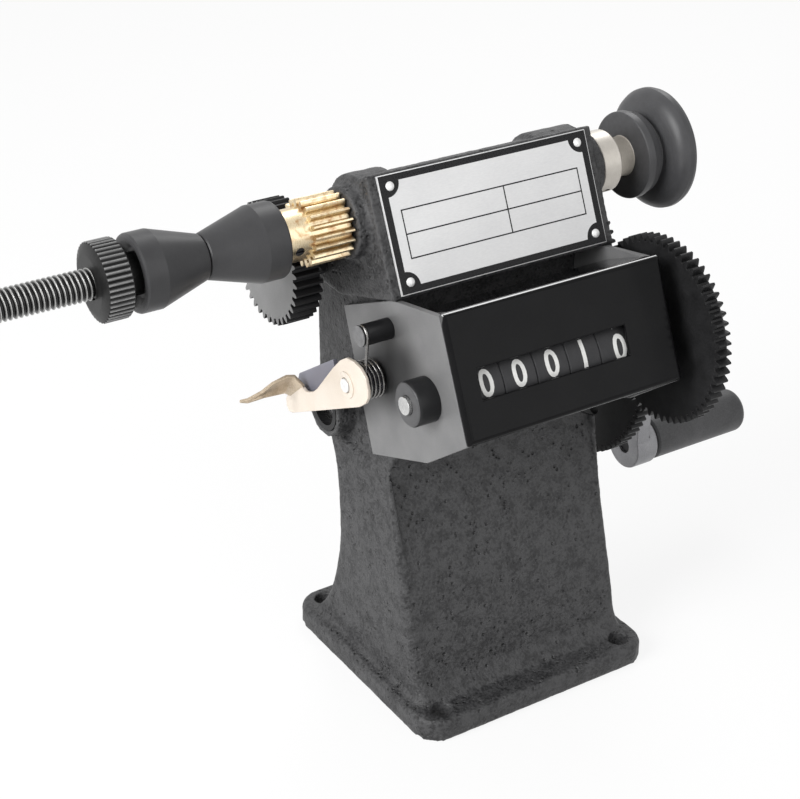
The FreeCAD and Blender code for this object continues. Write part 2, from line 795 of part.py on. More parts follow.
def spring_leg():
    reach = math.dist(lever_axis, (stud_y, stud_z))
    return math.sqrt(reach ** 2 - (spring_radius - hook_radius()) ** 2)


def torsion_spring():
    # Turns about the lever's bush, with a straight leg up to a hook on the stud and a short front leg.
    start_angle = leg_angle()

    def spot(turn):
        y, z = polar(lever_axis, start_angle + 360.0 * turn, spring_radius)
        return Vector(spring_first_x() + spring_pitch * turn, y, z)

    def way(turn):
        angle = math.radians(start_angle + 360.0 * turn)
        return unit(Vector(spring_slope(), -math.sin(angle), math.cos(angle)))

    quarters = 4 * spring_turns + 1
    turns = []
    for quarter in range(quarters):
        turns += biarc(spot(quarter / 4.0), way(quarter / 4.0), spot((quarter + 1) / 4.0), way((quarter + 1) / 4.0))
    leg_start = spot(0.0) - way(0.0) * spring_leg()
    middle = leg_start - unit(Vector(0, math.cos(math.radians(start_angle)), math.sin(math.radians(start_angle)))) * hook_radius()
    hook_spots = []
    for share in (1.0, 0.5):
        angle = math.radians(start_angle - spring_hook_turn * share)
        hook_spots.append(middle + Vector(0, math.cos(angle), math.sin(angle)) * hook_radius())
    hook = Part.Arc(hook_spots[0], hook_spots[1], leg_start)
    end = spot(quarters / 4.0) + way(quarters / 4.0) * spring_leg_length
    edges = [hook.toShape(), Part.makeLine(leg_start, spot(0.0))] + turns + [Part.makeLine(spot(quarters / 4.0), end)]
    path = Part.Wire(edges)
    section = Part.Circle(hook_spots[0], hook.tangent(hook.FirstParameter)[0], spring_wire_radius).toShape()
    spring = path.makePipeShell([Part.Wire([section])], True, False)
    print("torsion spring least gap to itself", round(least_self_gap(path), 2))
    return spring


def least_self_gap(path):
    # Sampled along the wire, leaving out neighbours closer along it than half a turn.
    spacing = 0.25
    spots = path.discretize(Distance=spacing)
    skip = int(math.pi * spring_radius / spacing)
    least = min(a.distanceToPoint(b) for i, a in enumerate(spots) for b in spots[i + skip:])
    return least - 2.0 * spring_wire_radius


def spindle_shaft():
    body = turned([(thread_end, 0.0), (thread_end, thread_radius - 1.0), (thread_end + 1.0, thread_radius),
                   (thread_shoulder, thread_radius), (thread_shoulder, spindle_radius),
                   (spindle_end - 0.6, spindle_radius), (spindle_end, spindle_radius - 0.6), (spindle_end, 0.0)], spindle_axis)
    return body


def brass_pinion():
    teeth = gear_blank(brass_teeth, 0.0, brass_teeth_left, brass_teeth_right - brass_teeth_left, spindle_axis, 0.0)
    hub = cylinder(brass_hub_left, brass_teeth_left + 0.5, spindle_axis, brass_hub_radius)
    rim = [e for e in hub.Edges if abs(e.CenterOfMass.x - brass_hub_left) < 0.01]
    body = teeth.fuse(hub.makeChamfer(0.5, rim))
    body = drilled(body, brass_hub_left - 1.0, brass_teeth_right + 1.0, spindle_axis, spindle_radius)
    return body.cut(radial_hole(brass_screw_x(), brass_screw_direction, set_screw_radius, spindle_radius - 0.5, brass_hub_radius + 1.0)).removeSplitter()


def brass_screw_x():
    return (brass_hub_left + brass_teeth_left) / 2.0


def radial_hole(x, around, radius, inner, outer):
    y, z = polar(spindle_axis, around, inner)
    heading = math.radians(around)
    return Part.makeCylinder(radius, outer - inner, Vector(x, y, z), Vector(0, math.cos(heading), math.sin(heading)))


def set_screw(x, around, seat, outer):
    screw = radial_hole(x, around, set_screw_radius, seat, outer)
    blade = Part.makeBox(2.0 * set_screw_radius + 2.0, 0.6, 0.6,
                         Vector(-set_screw_radius - 1.0, -0.3, -0.6))
    y, z = polar(spindle_axis, around, outer)
    blade.Placement = Placement(Vector(x, y, z), Rotation(Vector(1, 0, 0), around - 90.0))
    return screw.cut(blade)


def inner_cone():
    profile = [(cone_small_end, thread_radius), (cone_small_end, cone_small_radius), (cone_band_left, cone_large_radius),
               (cone_right - cone_rim_chamfer, cone_large_radius), (cone_right, cone_large_radius - cone_rim_chamfer),
               (cone_right, brass_hub_radius + air_gap), (brass_hub_left - cone_pocket_depth, brass_hub_radius + air_gap),
               (brass_hub_left - cone_pocket_depth, thread_radius)]
    return turned(profile, spindle_axis)


def outer_cone():
    bore = thread_radius + running_clearance
    small_end = cone_small_end - air_gap
    profile = [(small_end, bore), (small_end, cone_small_radius), (outer_cone_band_right, cone_large_radius),
               (outer_cone_left + cone_rim_chamfer, cone_large_radius), (outer_cone_left, cone_large_radius - cone_rim_chamfer),
               (outer_cone_left, cone_dish_radius), (outer_cone_left + cone_dish_depth, nut_spigot_radius),
               (outer_cone_left + cone_dish_depth, bore)]
    return turned(profile, spindle_axis)


def knurled_nut():
    valley = nut_radius - nut_knurl_depth
    points = []
    for knurl in range(nut_knurls):
        angle = 360.0 * knurl / nut_knurls
        points.append(polar(spindle_axis, angle, nut_radius))
        points.append(polar(spindle_axis, angle + 180.0 / nut_knurls, valley))
    body = slab(points, nut_left, nut_right)
    bore = thread_radius + running_clearance
    spigot_end = outer_cone_left + cone_dish_depth - air_gap
    envelope = turned([(nut_left, bore), (nut_left, nut_radius - nut_face_slope), (nut_left + nut_chamfer, nut_radius),
                       (nut_right - cone_rim_chamfer, nut_radius), (nut_right, nut_radius - cone_rim_chamfer),
                       (nut_right, bore)], spindle_axis)
    return body.common(envelope).fuse(ring(nut_right, spigot_end, spindle_axis, nut_spigot_radius - 1.0, bore)).removeSplitter()


def spindle_collar():
    body = ring(collar_left, collar_right, spindle_axis, collar_radius, spindle_radius)
    rims = [e for e in body.Edges if e.BoundBox.YLength > 2 * collar_radius - 0.5 and e.BoundBox.XLength < 0.1]
    body = body.makeChamfer(0.5, rims)
    return body.cut(radial_hole(collar_screw_x(), collar_screw_direction, set_screw_radius, spindle_radius - 0.5, collar_radius + 1.0))


def collar_screw_x():
    return (collar_left + collar_right) / 2.0


def pulley():
    groove_left = pulley_left + pulley_small_rim
    groove_right = pulley_right - pulley_large_rim
    groove_middle = (groove_left + groove_right) / 2.0
    rim_middle = pulley_right - pulley_large_rim / 2.0
    profile = [(collar_right + air_gap, spindle_radius), (collar_right + air_gap, pulley_hub_radius), (pulley_left, pulley_hub_radius),
               (pulley_left, pulley_small_radius - 0.5), (pulley_left + 0.5, pulley_small_radius),
               (groove_left - 0.5, pulley_small_radius), (groove_left, pulley_small_radius - 0.5),
               (groove_middle, pulley_groove_radius, groove_right, pulley_large_radius - pulley_rim_drop),
               (rim_middle, pulley_large_radius, pulley_right, pulley_large_radius - pulley_rim_drop),
               (pulley_right, spindle_radius)]
    return turned(profile, spindle_axis)


def countershaft():
    right = crank_gear_left + crank_gear_width + shaft_end_reach
    return cylinder(left_gear_left - countershaft_end_reach, right, countershaft_axis, countershaft_radius)


def left_gear():
    body = gear_blank(left_teeth, 0.0, left_gear_left, left_gear_width, countershaft_axis, left_phase)
    hub_right = -head_half_width - gear_side_gap
    body = body.fuse(cylinder(left_gear_left + left_gear_width - 0.5, hub_right, countershaft_axis,
                              countershaft_radius + left_gear_hub_wall))
    return drilled(body, left_gear_left - 1.0, hub_right + 1.0, countershaft_axis, countershaft_radius)


def counter_pinion():
    left = counter_gear_left - spacer_overlap
    right = crank_gear_left - pinion_overhang
    body = gear_blank(counter_pinion_teeth, counter_train_shift, left, right - left, countershaft_axis, 0.0)
    return drilled(body, left - 1.0, right + 1.0, countershaft_axis, countershaft_radius)


def countershaft_spacer():
    left = head_half_width + gear_side_gap
    return ring(left, counter_gear_left - spacer_overlap, countershaft_axis, countershaft_radius + spacer_wall, countershaft_radius)


def crank_pinion():
    left = crank_gear_left - pinion_overhang
    right = crank_gear_left + crank_gear_width + pinion_overhang
    body = gear_blank(crank_pinion_teeth, 0.0, left, right - left, countershaft_axis, 0.0)
    return drilled(body, left - 1.0, right + 1.0, countershaft_axis, countershaft_radius)


def clip_groove_radius():
    return idler_stud_radius - clip_groove


def idler_stud():
    shank = cylinder(neck_half_width - idler_stud_depth, idler_clip_x() + clip_thickness + 0.6, idler_axis, idler_stud_radius)
    shoulder = cylinder(boss_face_x, counter_gear_left - gear_side_gap, idler_axis, idler_stud_radius + idler_shoulder_wall)
    groove = ring(idler_clip_x(), idler_clip_x() + clip_thickness, idler_axis, idler_stud_radius + 1.0, clip_groove_radius())
    return shank.fuse(shoulder).removeSplitter().cut(groove)


def idler_clip_x():
    return counter_gear_left + counter_gear_width + air_gap


def idler_clip():
    left = idler_clip_x()
    clip = ring(left, left + clip_thickness, idler_axis, idler_stud_radius + clip_wall, clip_groove_radius())
    mouth = block(left - 1.0, left + clip_thickness + 1.0, idler_axis[0] - clip_groove_radius() + 0.6,
                  idler_axis[0] + clip_groove_radius() - 0.6, idler_axis[1] - idler_stud_radius - 2.0 * clip_wall, idler_axis[1])
    return clip.cut(mouth)


def idler_gear():
    body = gear_blank(idler_teeth, -counter_train_shift, counter_gear_left, counter_gear_width, idler_axis, idler_phase)
    right = counter_gear_left + counter_gear_width
    return drilled(body, counter_gear_left - 1.0, right + 1.0, idler_axis, idler_stud_radius + running_clearance)


def counter_gear():
    body = gear_blank(counter_teeth, counter_train_shift, counter_gear_left, counter_gear_width, counter_axis, counter_phase)
    hub = cylinder(plate_outer_x + gear_side_gap, counter_gear_left + 0.5, counter_axis,
                   counter_shaft_radius + counter_gear_hub_wall)
    right = counter_gear_left + counter_gear_width
    return drilled(body.fuse(hub), plate_outer_x, right + 1.0, counter_axis, counter_shaft_radius)


def counter_shaft():
    left = -plate_outer_x - end_boss_length - end_shaft_reach
    right = counter_gear_left + counter_gear_width + counter_nut_height + shaft_tip
    return cylinder(left, right, counter_axis, counter_shaft_radius)


def counter_gear_nut():
    left = counter_gear_left + counter_gear_width
    right = left + counter_nut_height
    corners = [polar(counter_axis, 60.0 * side, counter_nut_radius) for side in range(6)]
    return drilled(slab(corners, left, right), left - 1.0, right + 1.0, counter_axis, counter_shaft_radius)


def wheel_left(index):
    first = window_middle_x - wheel_pitch * wheel_count / 2.0
    return first + index * wheel_pitch + wheel_gap / 2.0


def digit_wheel(index):
    left = wheel_left(index)
    right = left + wheel_pitch - wheel_gap
    is_units = index == wheel_count - 1
    bore = counter_shaft_radius if is_units else counter_shaft_radius + running_clearance
    rim = ring(left, right, counter_axis, wheel_radius, wheel_radius - wheel_rim)
    web_left = (left + right - wheel_web) / 2.0
    web = ring(web_left, web_left + wheel_web, counter_axis, wheel_radius - wheel_rim + 0.2, bore + wheel_bore_wall - 0.2)
    hub = ring(left, right, counter_axis, bore + wheel_bore_wall, bore)
    return rim.fuse(web).fuse(hub).removeSplitter()


def wheel_spacers():
    left_end = wheel_left(0)
    right_start = wheel_left(wheel_count - 1) + wheel_pitch - wheel_gap
    inner = counter_shaft_radius
    outer = counter_shaft_radius + spacer_wall
    left = ring(-plate_inner_x + air_gap, left_end - air_gap / 2.0, counter_axis, outer, inner)
    right = ring(right_start, plate_inner_x - air_gap, counter_axis, outer, inner)
    return Part.makeCompound([left, right])


def crank_shaft():
    left = -boss_face_x + crank_end_recess
    right = arm_left + arm_thickness + crank_end_reach
    half = crank_screw_radius + air_gap
    groove = ring(crank_screw_x - half, crank_screw_x + half, crank_axis, crank_shaft_radius + 1.0,
                  crank_shaft_radius - crank_groove_depth)
    return cylinder(left, right, crank_axis, crank_shaft_radius).cut(groove)


def crank_screw_shank(back):
    # Runs in from the rear of the neck to just clear of the bottom of the shaft's groove.
    tip = crank_axis[0] + crank_shaft_radius - crank_groove_depth + air_gap
    return Part.makeCylinder(crank_screw_radius, back - tip, Vector(crank_screw_x, tip, crank_axis[1]), Vector(0, 1, 0))


def crank_retaining_screw():
    back = neck_back - 0.5
    slot = block(crank_screw_x - 2.0 * crank_screw_radius, crank_screw_x + 2.0 * crank_screw_radius,
                 back - screw_slot_depth, back + 1.0,
                 crank_axis[1] - screw_slot_width / 2.0, crank_axis[1] + screw_slot_width / 2.0)
    return crank_screw_shank(back).cut(slot)


def crank_gear():
    body = gear_blank(crank_teeth, 0.0, crank_gear_left, crank_gear_width, crank_axis, crank_phase)
    right = crank_gear_left + crank_gear_width
    for step in range(4):
        spot = polar(crank_axis, crank_gear_hole_direction + 90.0 * step, crank_gear_hole_circle)
        body = drilled(body, crank_gear_left - 1.0, right + 1.0, spot, crank_gear_hole_radius)
    hub_left = boss_face_x + gear_side_gap
    hub_right = right + crank_gear_outer_hub_length
    hub = cylinder(hub_left, crank_gear_left + 0.5, crank_axis, crank_shaft_radius + crank_gear_hub_wall)
    outer_hub = cylinder(right - 0.5, hub_right, crank_axis, crank_shaft_radius + crank_gear_outer_hub_wall)
    return drilled(body.fuse(hub).fuse(outer_hub), hub_left - 1.0, hub_right + 1.0, crank_axis, crank_shaft_radius)


def handle_axis():
    return (crank_axis[0], crank_axis[1] - arm_length)


def crank_arm():
    right = arm_left + arm_thickness
    end = handle_axis()
    body = block(arm_left, right, crank_axis[0] - arm_half_width, crank_axis[0] + arm_half_width, end[1], crank_axis[1])
    body = body.fuse(cylinder(arm_left, right, crank_axis, crank_shaft_radius + arm_head_wall))
    boss_end = arm_left + handle_boss_length
    boss = cylinder(arm_left, boss_end, end, handle_boss_radius)
    outer = [e for e in boss.Edges if e.CenterOfMass.x > boss_end - 0.1 and e.BoundBox.XLength < 0.1]
    body = body.fuse(boss.makeChamfer(handle_boss_chamfer, outer))
    body = drilled(body, arm_left - 1.0, right + 1.0, crank_axis, crank_shaft_radius)
    return drilled(body, arm_left - 1.0, boss_end + 1.0, end, handle_pin_radius).removeSplitter()


def crank_cap_screw():
    left = arm_left + arm_thickness + crank_end_reach
    return cylinder(left, left + cap_height, crank_axis, crank_shaft_radius + cap_lip)


def handle_pin():
    left = arm_left + handle_pin_inset
    seat = arm_left + handle_boss_length + air_gap + handle_length - handle_pocket_depth
    top = seat + handle_cap_height
    y, z = handle_axis()
    reach = handle_pin_radius + 2.0 * handle_cap_lip
    shank = cylinder(left, seat, (y, z), handle_pin_radius)
    cap = cylinder(seat, top, (y, z), handle_pin_radius + handle_cap_lip)
    slot = block(top - 1.0, top + 1.0, y - reach, y + reach, z - screw_slot_width / 2.0, z + screw_slot_width / 2.0)
    return shank.fuse(cap).removeSplitter().cut(slot)


def handle_grip():
    left = arm_left + handle_boss_length + air_gap
    right = left + handle_length
    bore = handle_pin_radius + running_clearance
    pocket = handle_pin_radius + handle_cap_lip + air_gap
    seat = right - handle_pocket_depth - air_gap
    bend = handle_end_round * (1.0 - math.sqrt(0.5))
    profile = [(left, bore), (left, handle_radius - 0.8), (left + 0.8, handle_radius), (right - handle_end_round, handle_radius),
               (right - bend, handle_radius - bend, right, handle_radius - handle_end_round),
               (right, pocket), (seat, pocket), (seat, bore)]
    return turned(profile, handle_axis())


def nodes():
    made = {
        "frame_casting": frame_casting,
        "spindle_bushes": spindle_bushes,
        "countershaft_bushes": countershaft_bushes,
        "crank_bushes": crank_bushes,
        "nameplate": nameplate,
        "nameplate_rivets": nameplate_rivets,
        "counter_cover": counter_cover,
        "side_plate_left": side_plate_left,
        "side_plate_right": side_plate_right,
        "counter_tie_bars": counter_tie_bars,
        "side_plate_screws": side_plate_screws,
        "counter_shaft_boss": counter_shaft_boss,
        "spring_stud": spring_stud,
        "lever_pin": lever_pin,
        "torsion_spring": torsion_spring,
        "idler_stud": idler_stud,
        "idler_clip": idler_clip,
        "reset_lever": reset_lever,
        "spindle_shaft": spindle_shaft,
        "brass_pinion": brass_pinion,
        "brass_pinion_screw": lambda: set_screw(brass_screw_x(), brass_screw_direction, spindle_radius, brass_hub_radius - 0.2),
        "inner_cone": inner_cone,
        "outer_cone": outer_cone,
        "knurled_nut": knurled_nut,
        "spindle_collar": spindle_collar,
        "spindle_collar_screw": lambda: set_screw(collar_screw_x(), collar_screw_direction, spindle_radius, collar_radius - 1.0),
        "pulley": pulley,
        "countershaft": countershaft,
        "left_gear": left_gear,
        "countershaft_spacer": countershaft_spacer,
        "counter_pinion": counter_pinion,
        "crank_pinion": crank_pinion,
        "idler_gear": idler_gear,
        "counter_shaft": counter_shaft,
        "counter_gear": counter_gear,
        "counter_gear_nut": counter_gear_nut,
        "wheel_spacers": wheel_spacers,
        "crank_shaft": crank_shaft,
        "crank_retaining_screw": crank_retaining_screw,
        "crank_gear": crank_gear,
        "crank_arm": crank_arm,
        "crank_cap_screw": crank_cap_screw,
        "handle_pin": handle_pin,
        "handle_grip": handle_grip,
    }
    shapes = {name: build() for name, build in made.items()}
    for index in range(wheel_count):
        shapes["digit_wheel_" + str(index + 1)] = digit_wheel(index)
    return shapes


def main():
    os.makedirs("parts", exist_ok=True)
    for name, shape in nodes().items():
        shape.exportStep("parts/" + name + ".step")
        print(name, len(shape.Solids), shape.isValid(), round(shape.Volume / 1000.0, 2))


main()
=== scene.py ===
import bpy
import json
import math
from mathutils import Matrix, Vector

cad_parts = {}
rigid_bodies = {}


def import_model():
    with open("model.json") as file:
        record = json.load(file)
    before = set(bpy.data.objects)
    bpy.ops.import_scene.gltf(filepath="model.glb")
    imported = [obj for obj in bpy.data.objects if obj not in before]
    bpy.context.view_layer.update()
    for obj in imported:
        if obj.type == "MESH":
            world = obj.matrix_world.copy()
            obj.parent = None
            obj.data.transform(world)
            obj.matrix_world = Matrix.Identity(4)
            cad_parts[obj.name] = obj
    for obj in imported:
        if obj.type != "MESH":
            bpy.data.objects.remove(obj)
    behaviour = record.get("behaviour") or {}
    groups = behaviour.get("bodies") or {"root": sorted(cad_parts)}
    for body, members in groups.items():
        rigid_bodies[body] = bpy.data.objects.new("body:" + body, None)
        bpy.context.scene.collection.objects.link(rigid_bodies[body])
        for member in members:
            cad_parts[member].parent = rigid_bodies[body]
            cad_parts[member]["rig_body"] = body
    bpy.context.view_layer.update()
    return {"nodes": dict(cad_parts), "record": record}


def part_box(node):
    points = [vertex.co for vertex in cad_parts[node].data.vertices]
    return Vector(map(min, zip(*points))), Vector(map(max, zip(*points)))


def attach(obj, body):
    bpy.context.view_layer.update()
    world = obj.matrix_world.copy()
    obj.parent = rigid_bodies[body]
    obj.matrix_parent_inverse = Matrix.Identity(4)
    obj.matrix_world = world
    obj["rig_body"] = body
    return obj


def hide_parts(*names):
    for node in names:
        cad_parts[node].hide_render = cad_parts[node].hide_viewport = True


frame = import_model()
nodes = frame["nodes"]
mm = 0.001

# Axes of the turning pieces as (y, z), in millimetres like every size below.
axes = {
    "spindle": (6.5, 167.0),
    "countershaft": (28.46, 148.833),
    "idler": (9.494, 137.684),
    "crank": (19.975, 97.023),
    "handle": (19.975, 43.423),
    "counter": (-34.204, 123.315),
    "lever": (-5.75, 118.56),
    "stud": (-12.05, 137.75),
}


# Shader maths

class Value:
    # One output of a shader node, with the usual operators.
    def __init__(self, shader, link):
        self.shader = shader
        self.link = link

    def maths(self, operation, first, second=None):
        inputs = {0: first} if second is None else {0: first, 1: second}
        return self.shader.node("ShaderNodeMath", {"operation": operation}, inputs)

    def __add__(self, other):
        return self.maths("ADD", self, other)

    def __radd__(self, other):
        return self.maths("ADD", other, self)

    def __sub__(self, other):
        return self.maths("SUBTRACT", self, other)

    def __rsub__(self, other):
        return self.maths("SUBTRACT", other, self)

    def __mul__(self, other):
        return self.maths("MULTIPLY", self, other)

    def __rmul__(self, other):
        return self.maths("MULTIPLY", other, self)

    def __gt__(self, other):
        return self.maths("GREATER_THAN", self, other)


class Shader:
    def __init__(self, name):
        self.material = bpy.data.materials.new(name)
        self.material.use_nodes = True
        self.tree = self.material.node_tree
        self.surface = self.tree.nodes["Principled BSDF"]

    def node(self, kind, settings=None, inputs=None, output=0):
        made = self.tree.nodes.new(kind)
        for key, value in (settings or {}).items():
            if key == "stops":
                ramp = made.color_ramp.elements
                while len(ramp) < len(value):
                    ramp.new(0.5)
                for stop, (position, shade) in zip(ramp, value):
                    stop.position = position
                    stop.color = (shade, shade, shade, 1.0)
            else:
                setattr(made, key, value)
        for key, value in (inputs or {}).items():
            self.feed(made.inputs[key], value)
        return Value(self, made.outputs[output])

    def feed(self, socket, value):
        if isinstance(value, Value):
            self.tree.links.new(value.link, socket)
        elif isinstance(value, tuple) and len(value) == 3 and socket.type == "RGBA":
            socket.default_value = (*value, 1.0)
        else:
            socket.default_value = value

    def setSurface(self, **inputs):
        for key, value in inputs.items():
            self.feed(self.surface.inputs[key.replace("_", " ")], value)

    def place(self, stretch=(1.0, 1.0, 1.0), turn=(0.0, 0.0, 0.0), centre=(0.0, 0.0, 0.0)):
        spot = self.node("ShaderNodeTexCoord", output="Object")
        inputs = {"Location": tuple(value * mm for value in centre), "Rotation": turn, "Scale": stretch}
        return self.node("ShaderNodeMapping", {"vector_type": "TEXTURE"}, {"Vector": spot, **inputs})

    def noise(self, spot, size, detail=4.0, rough=0.55, twist=0.0):
        inputs = {"Vector": spot, "Scale": 1.0 / (size * mm), "Detail": detail, "Roughness": rough,
                  "Distortion": twist}
        return self.node("ShaderNodeTexNoise", None, inputs)

    def ramp(self, factor, *stops):
        return self.node("ShaderNodeValToRGB", {"stops": stops}, {"Fac": factor})

    def mix(self, factor, first, second):
        return self.node("ShaderNodeMix", {"data_type": "RGBA"}, {0: factor, 6: first, 7: second}, 2)

    def split(self, spot):
        return [self.node("ShaderNodeSeparateXYZ", None, {0: spot}, axis) for axis in range(3)]

    def bump(self, height, distance, strength=1.0):
        inputs = {"Height": height, "Distance": distance * mm, "Strength": strength}
        self.feed(self.surface.inputs["Normal"], self.node("ShaderNodeBump", None, inputs))


def finish(name, light, dark, rough, metal=0.0, patch=9.0, grain=0.8, height=0.02, stretch=(1.0, 1.0, 1.0),
           coat=0.0, specular=0.5, stain=None, stainSize=5.0, pits=0.0, pitSize=1.6, contrast=(0.35, 0.65),
           bands=(), radial=None, shade=None, deck=None):
    # A worn finish: two tones in patches and grain, varying gloss, fine bump, and stains or pits where
    # wanted. bands recolour what lies further along X, radial what lies further from an axis, shade darkens
    # what is near a point as a painted shadow, and deck gives what lies behind a limit on Y a mirror coat.
    shader = Shader(name)
    spot = shader.place()
    fine = shader.noise(shader.place(stretch), grain, 5.0)
    broad = shader.noise(spot, patch, 3.0)
    tone = shader.ramp(broad * 0.5 + fine * 0.5, (contrast[0], 0.0), (contrast[1], 1.0))
    color = shader.mix(tone, dark, light)
    gloss = rough[0] + (rough[1] - rough[0]) * fine
    relief = fine
    for limit, bandColor in bands:
        color = shader.mix(shader.split(spot)[0] > limit * mm, color, bandColor)
    if radial:
        axis, inner, outer, farColor = radial
        offset = shader.split(shader.place(centre=(0.0, *axes[axis])))
        reach = spot.maths("SQRT", offset[1] * offset[1] + offset[2] * offset[2])
        share = shader.node("ShaderNodeMapRange", None, {0: reach, 1: inner * mm, 2: outer * mm})
        color = shader.mix(share, color, shader.mix(tone, tuple(value * 0.7 for value in farColor), farColor))
    # Painted shadow: near the centre the colour darkens to a fifth of the dark tone.
    if shade:
        centre, reach, depth = shade
        away = shader.node("ShaderNodeVectorMath", {"operation": "LENGTH"},
                           {0: shader.place(centre=centre)}, 1)
        spread = {0: away, 1: reach * 0.3 * mm, 2: reach * mm, 3: depth, 4: 0.0}
        share = shader.node("ShaderNodeMapRange", {"interpolation_type": "SMOOTHSTEP"}, spread)
        color = shader.mix(share, color, tuple(value * 0.2 for value in dark))
    if stain:
        blotch = shader.ramp(shader.noise(spot, stainSize, 6.0, 0.65, 0.6), (0.5, 0.0), (0.72, 1.0))
        color = shader.mix(blotch, color, stain)
        gloss = gloss + blotch * 0.18
    if pits:
        hole = shader.node("ShaderNodeTexVoronoi", {"feature": "F1"},
                           {"Vector": spot, "Scale": 1.0 / (pitSize * mm)})
        hole = shader.ramp(hole, (0.05, 0.0), (0.32, 1.0))
        worn = shader.ramp(shader.noise(spot, pitSize * 3.0, 2.0), (0.45, 0.0), (0.6, 1.0))
        dip = (1.0 - hole) * worn
        color = shader.mix(dip * pits, color, tuple(value * 0.3 for value in dark))
        relief = relief - dip * 1.5
    if deck:
        limit, mirror, elsewhere, coatIndex = deck
        coat = (shader.split(spot)[1] > limit * mm) * mirror + elsewhere
        shader.setSurface(Coat_IOR=coatIndex)
    shader.setSurface(Base_Color=color, Roughness=gloss, Metallic=metal, Coat_Weight=coat,
                      Specular_IOR_Level=specular)
    shader.surface.inputs["Coat Roughness"].default_value = 0.05
    shader.bump(relief, height)
    return shader.material


turnedMarks = (0.12, 3.0, 3.0)
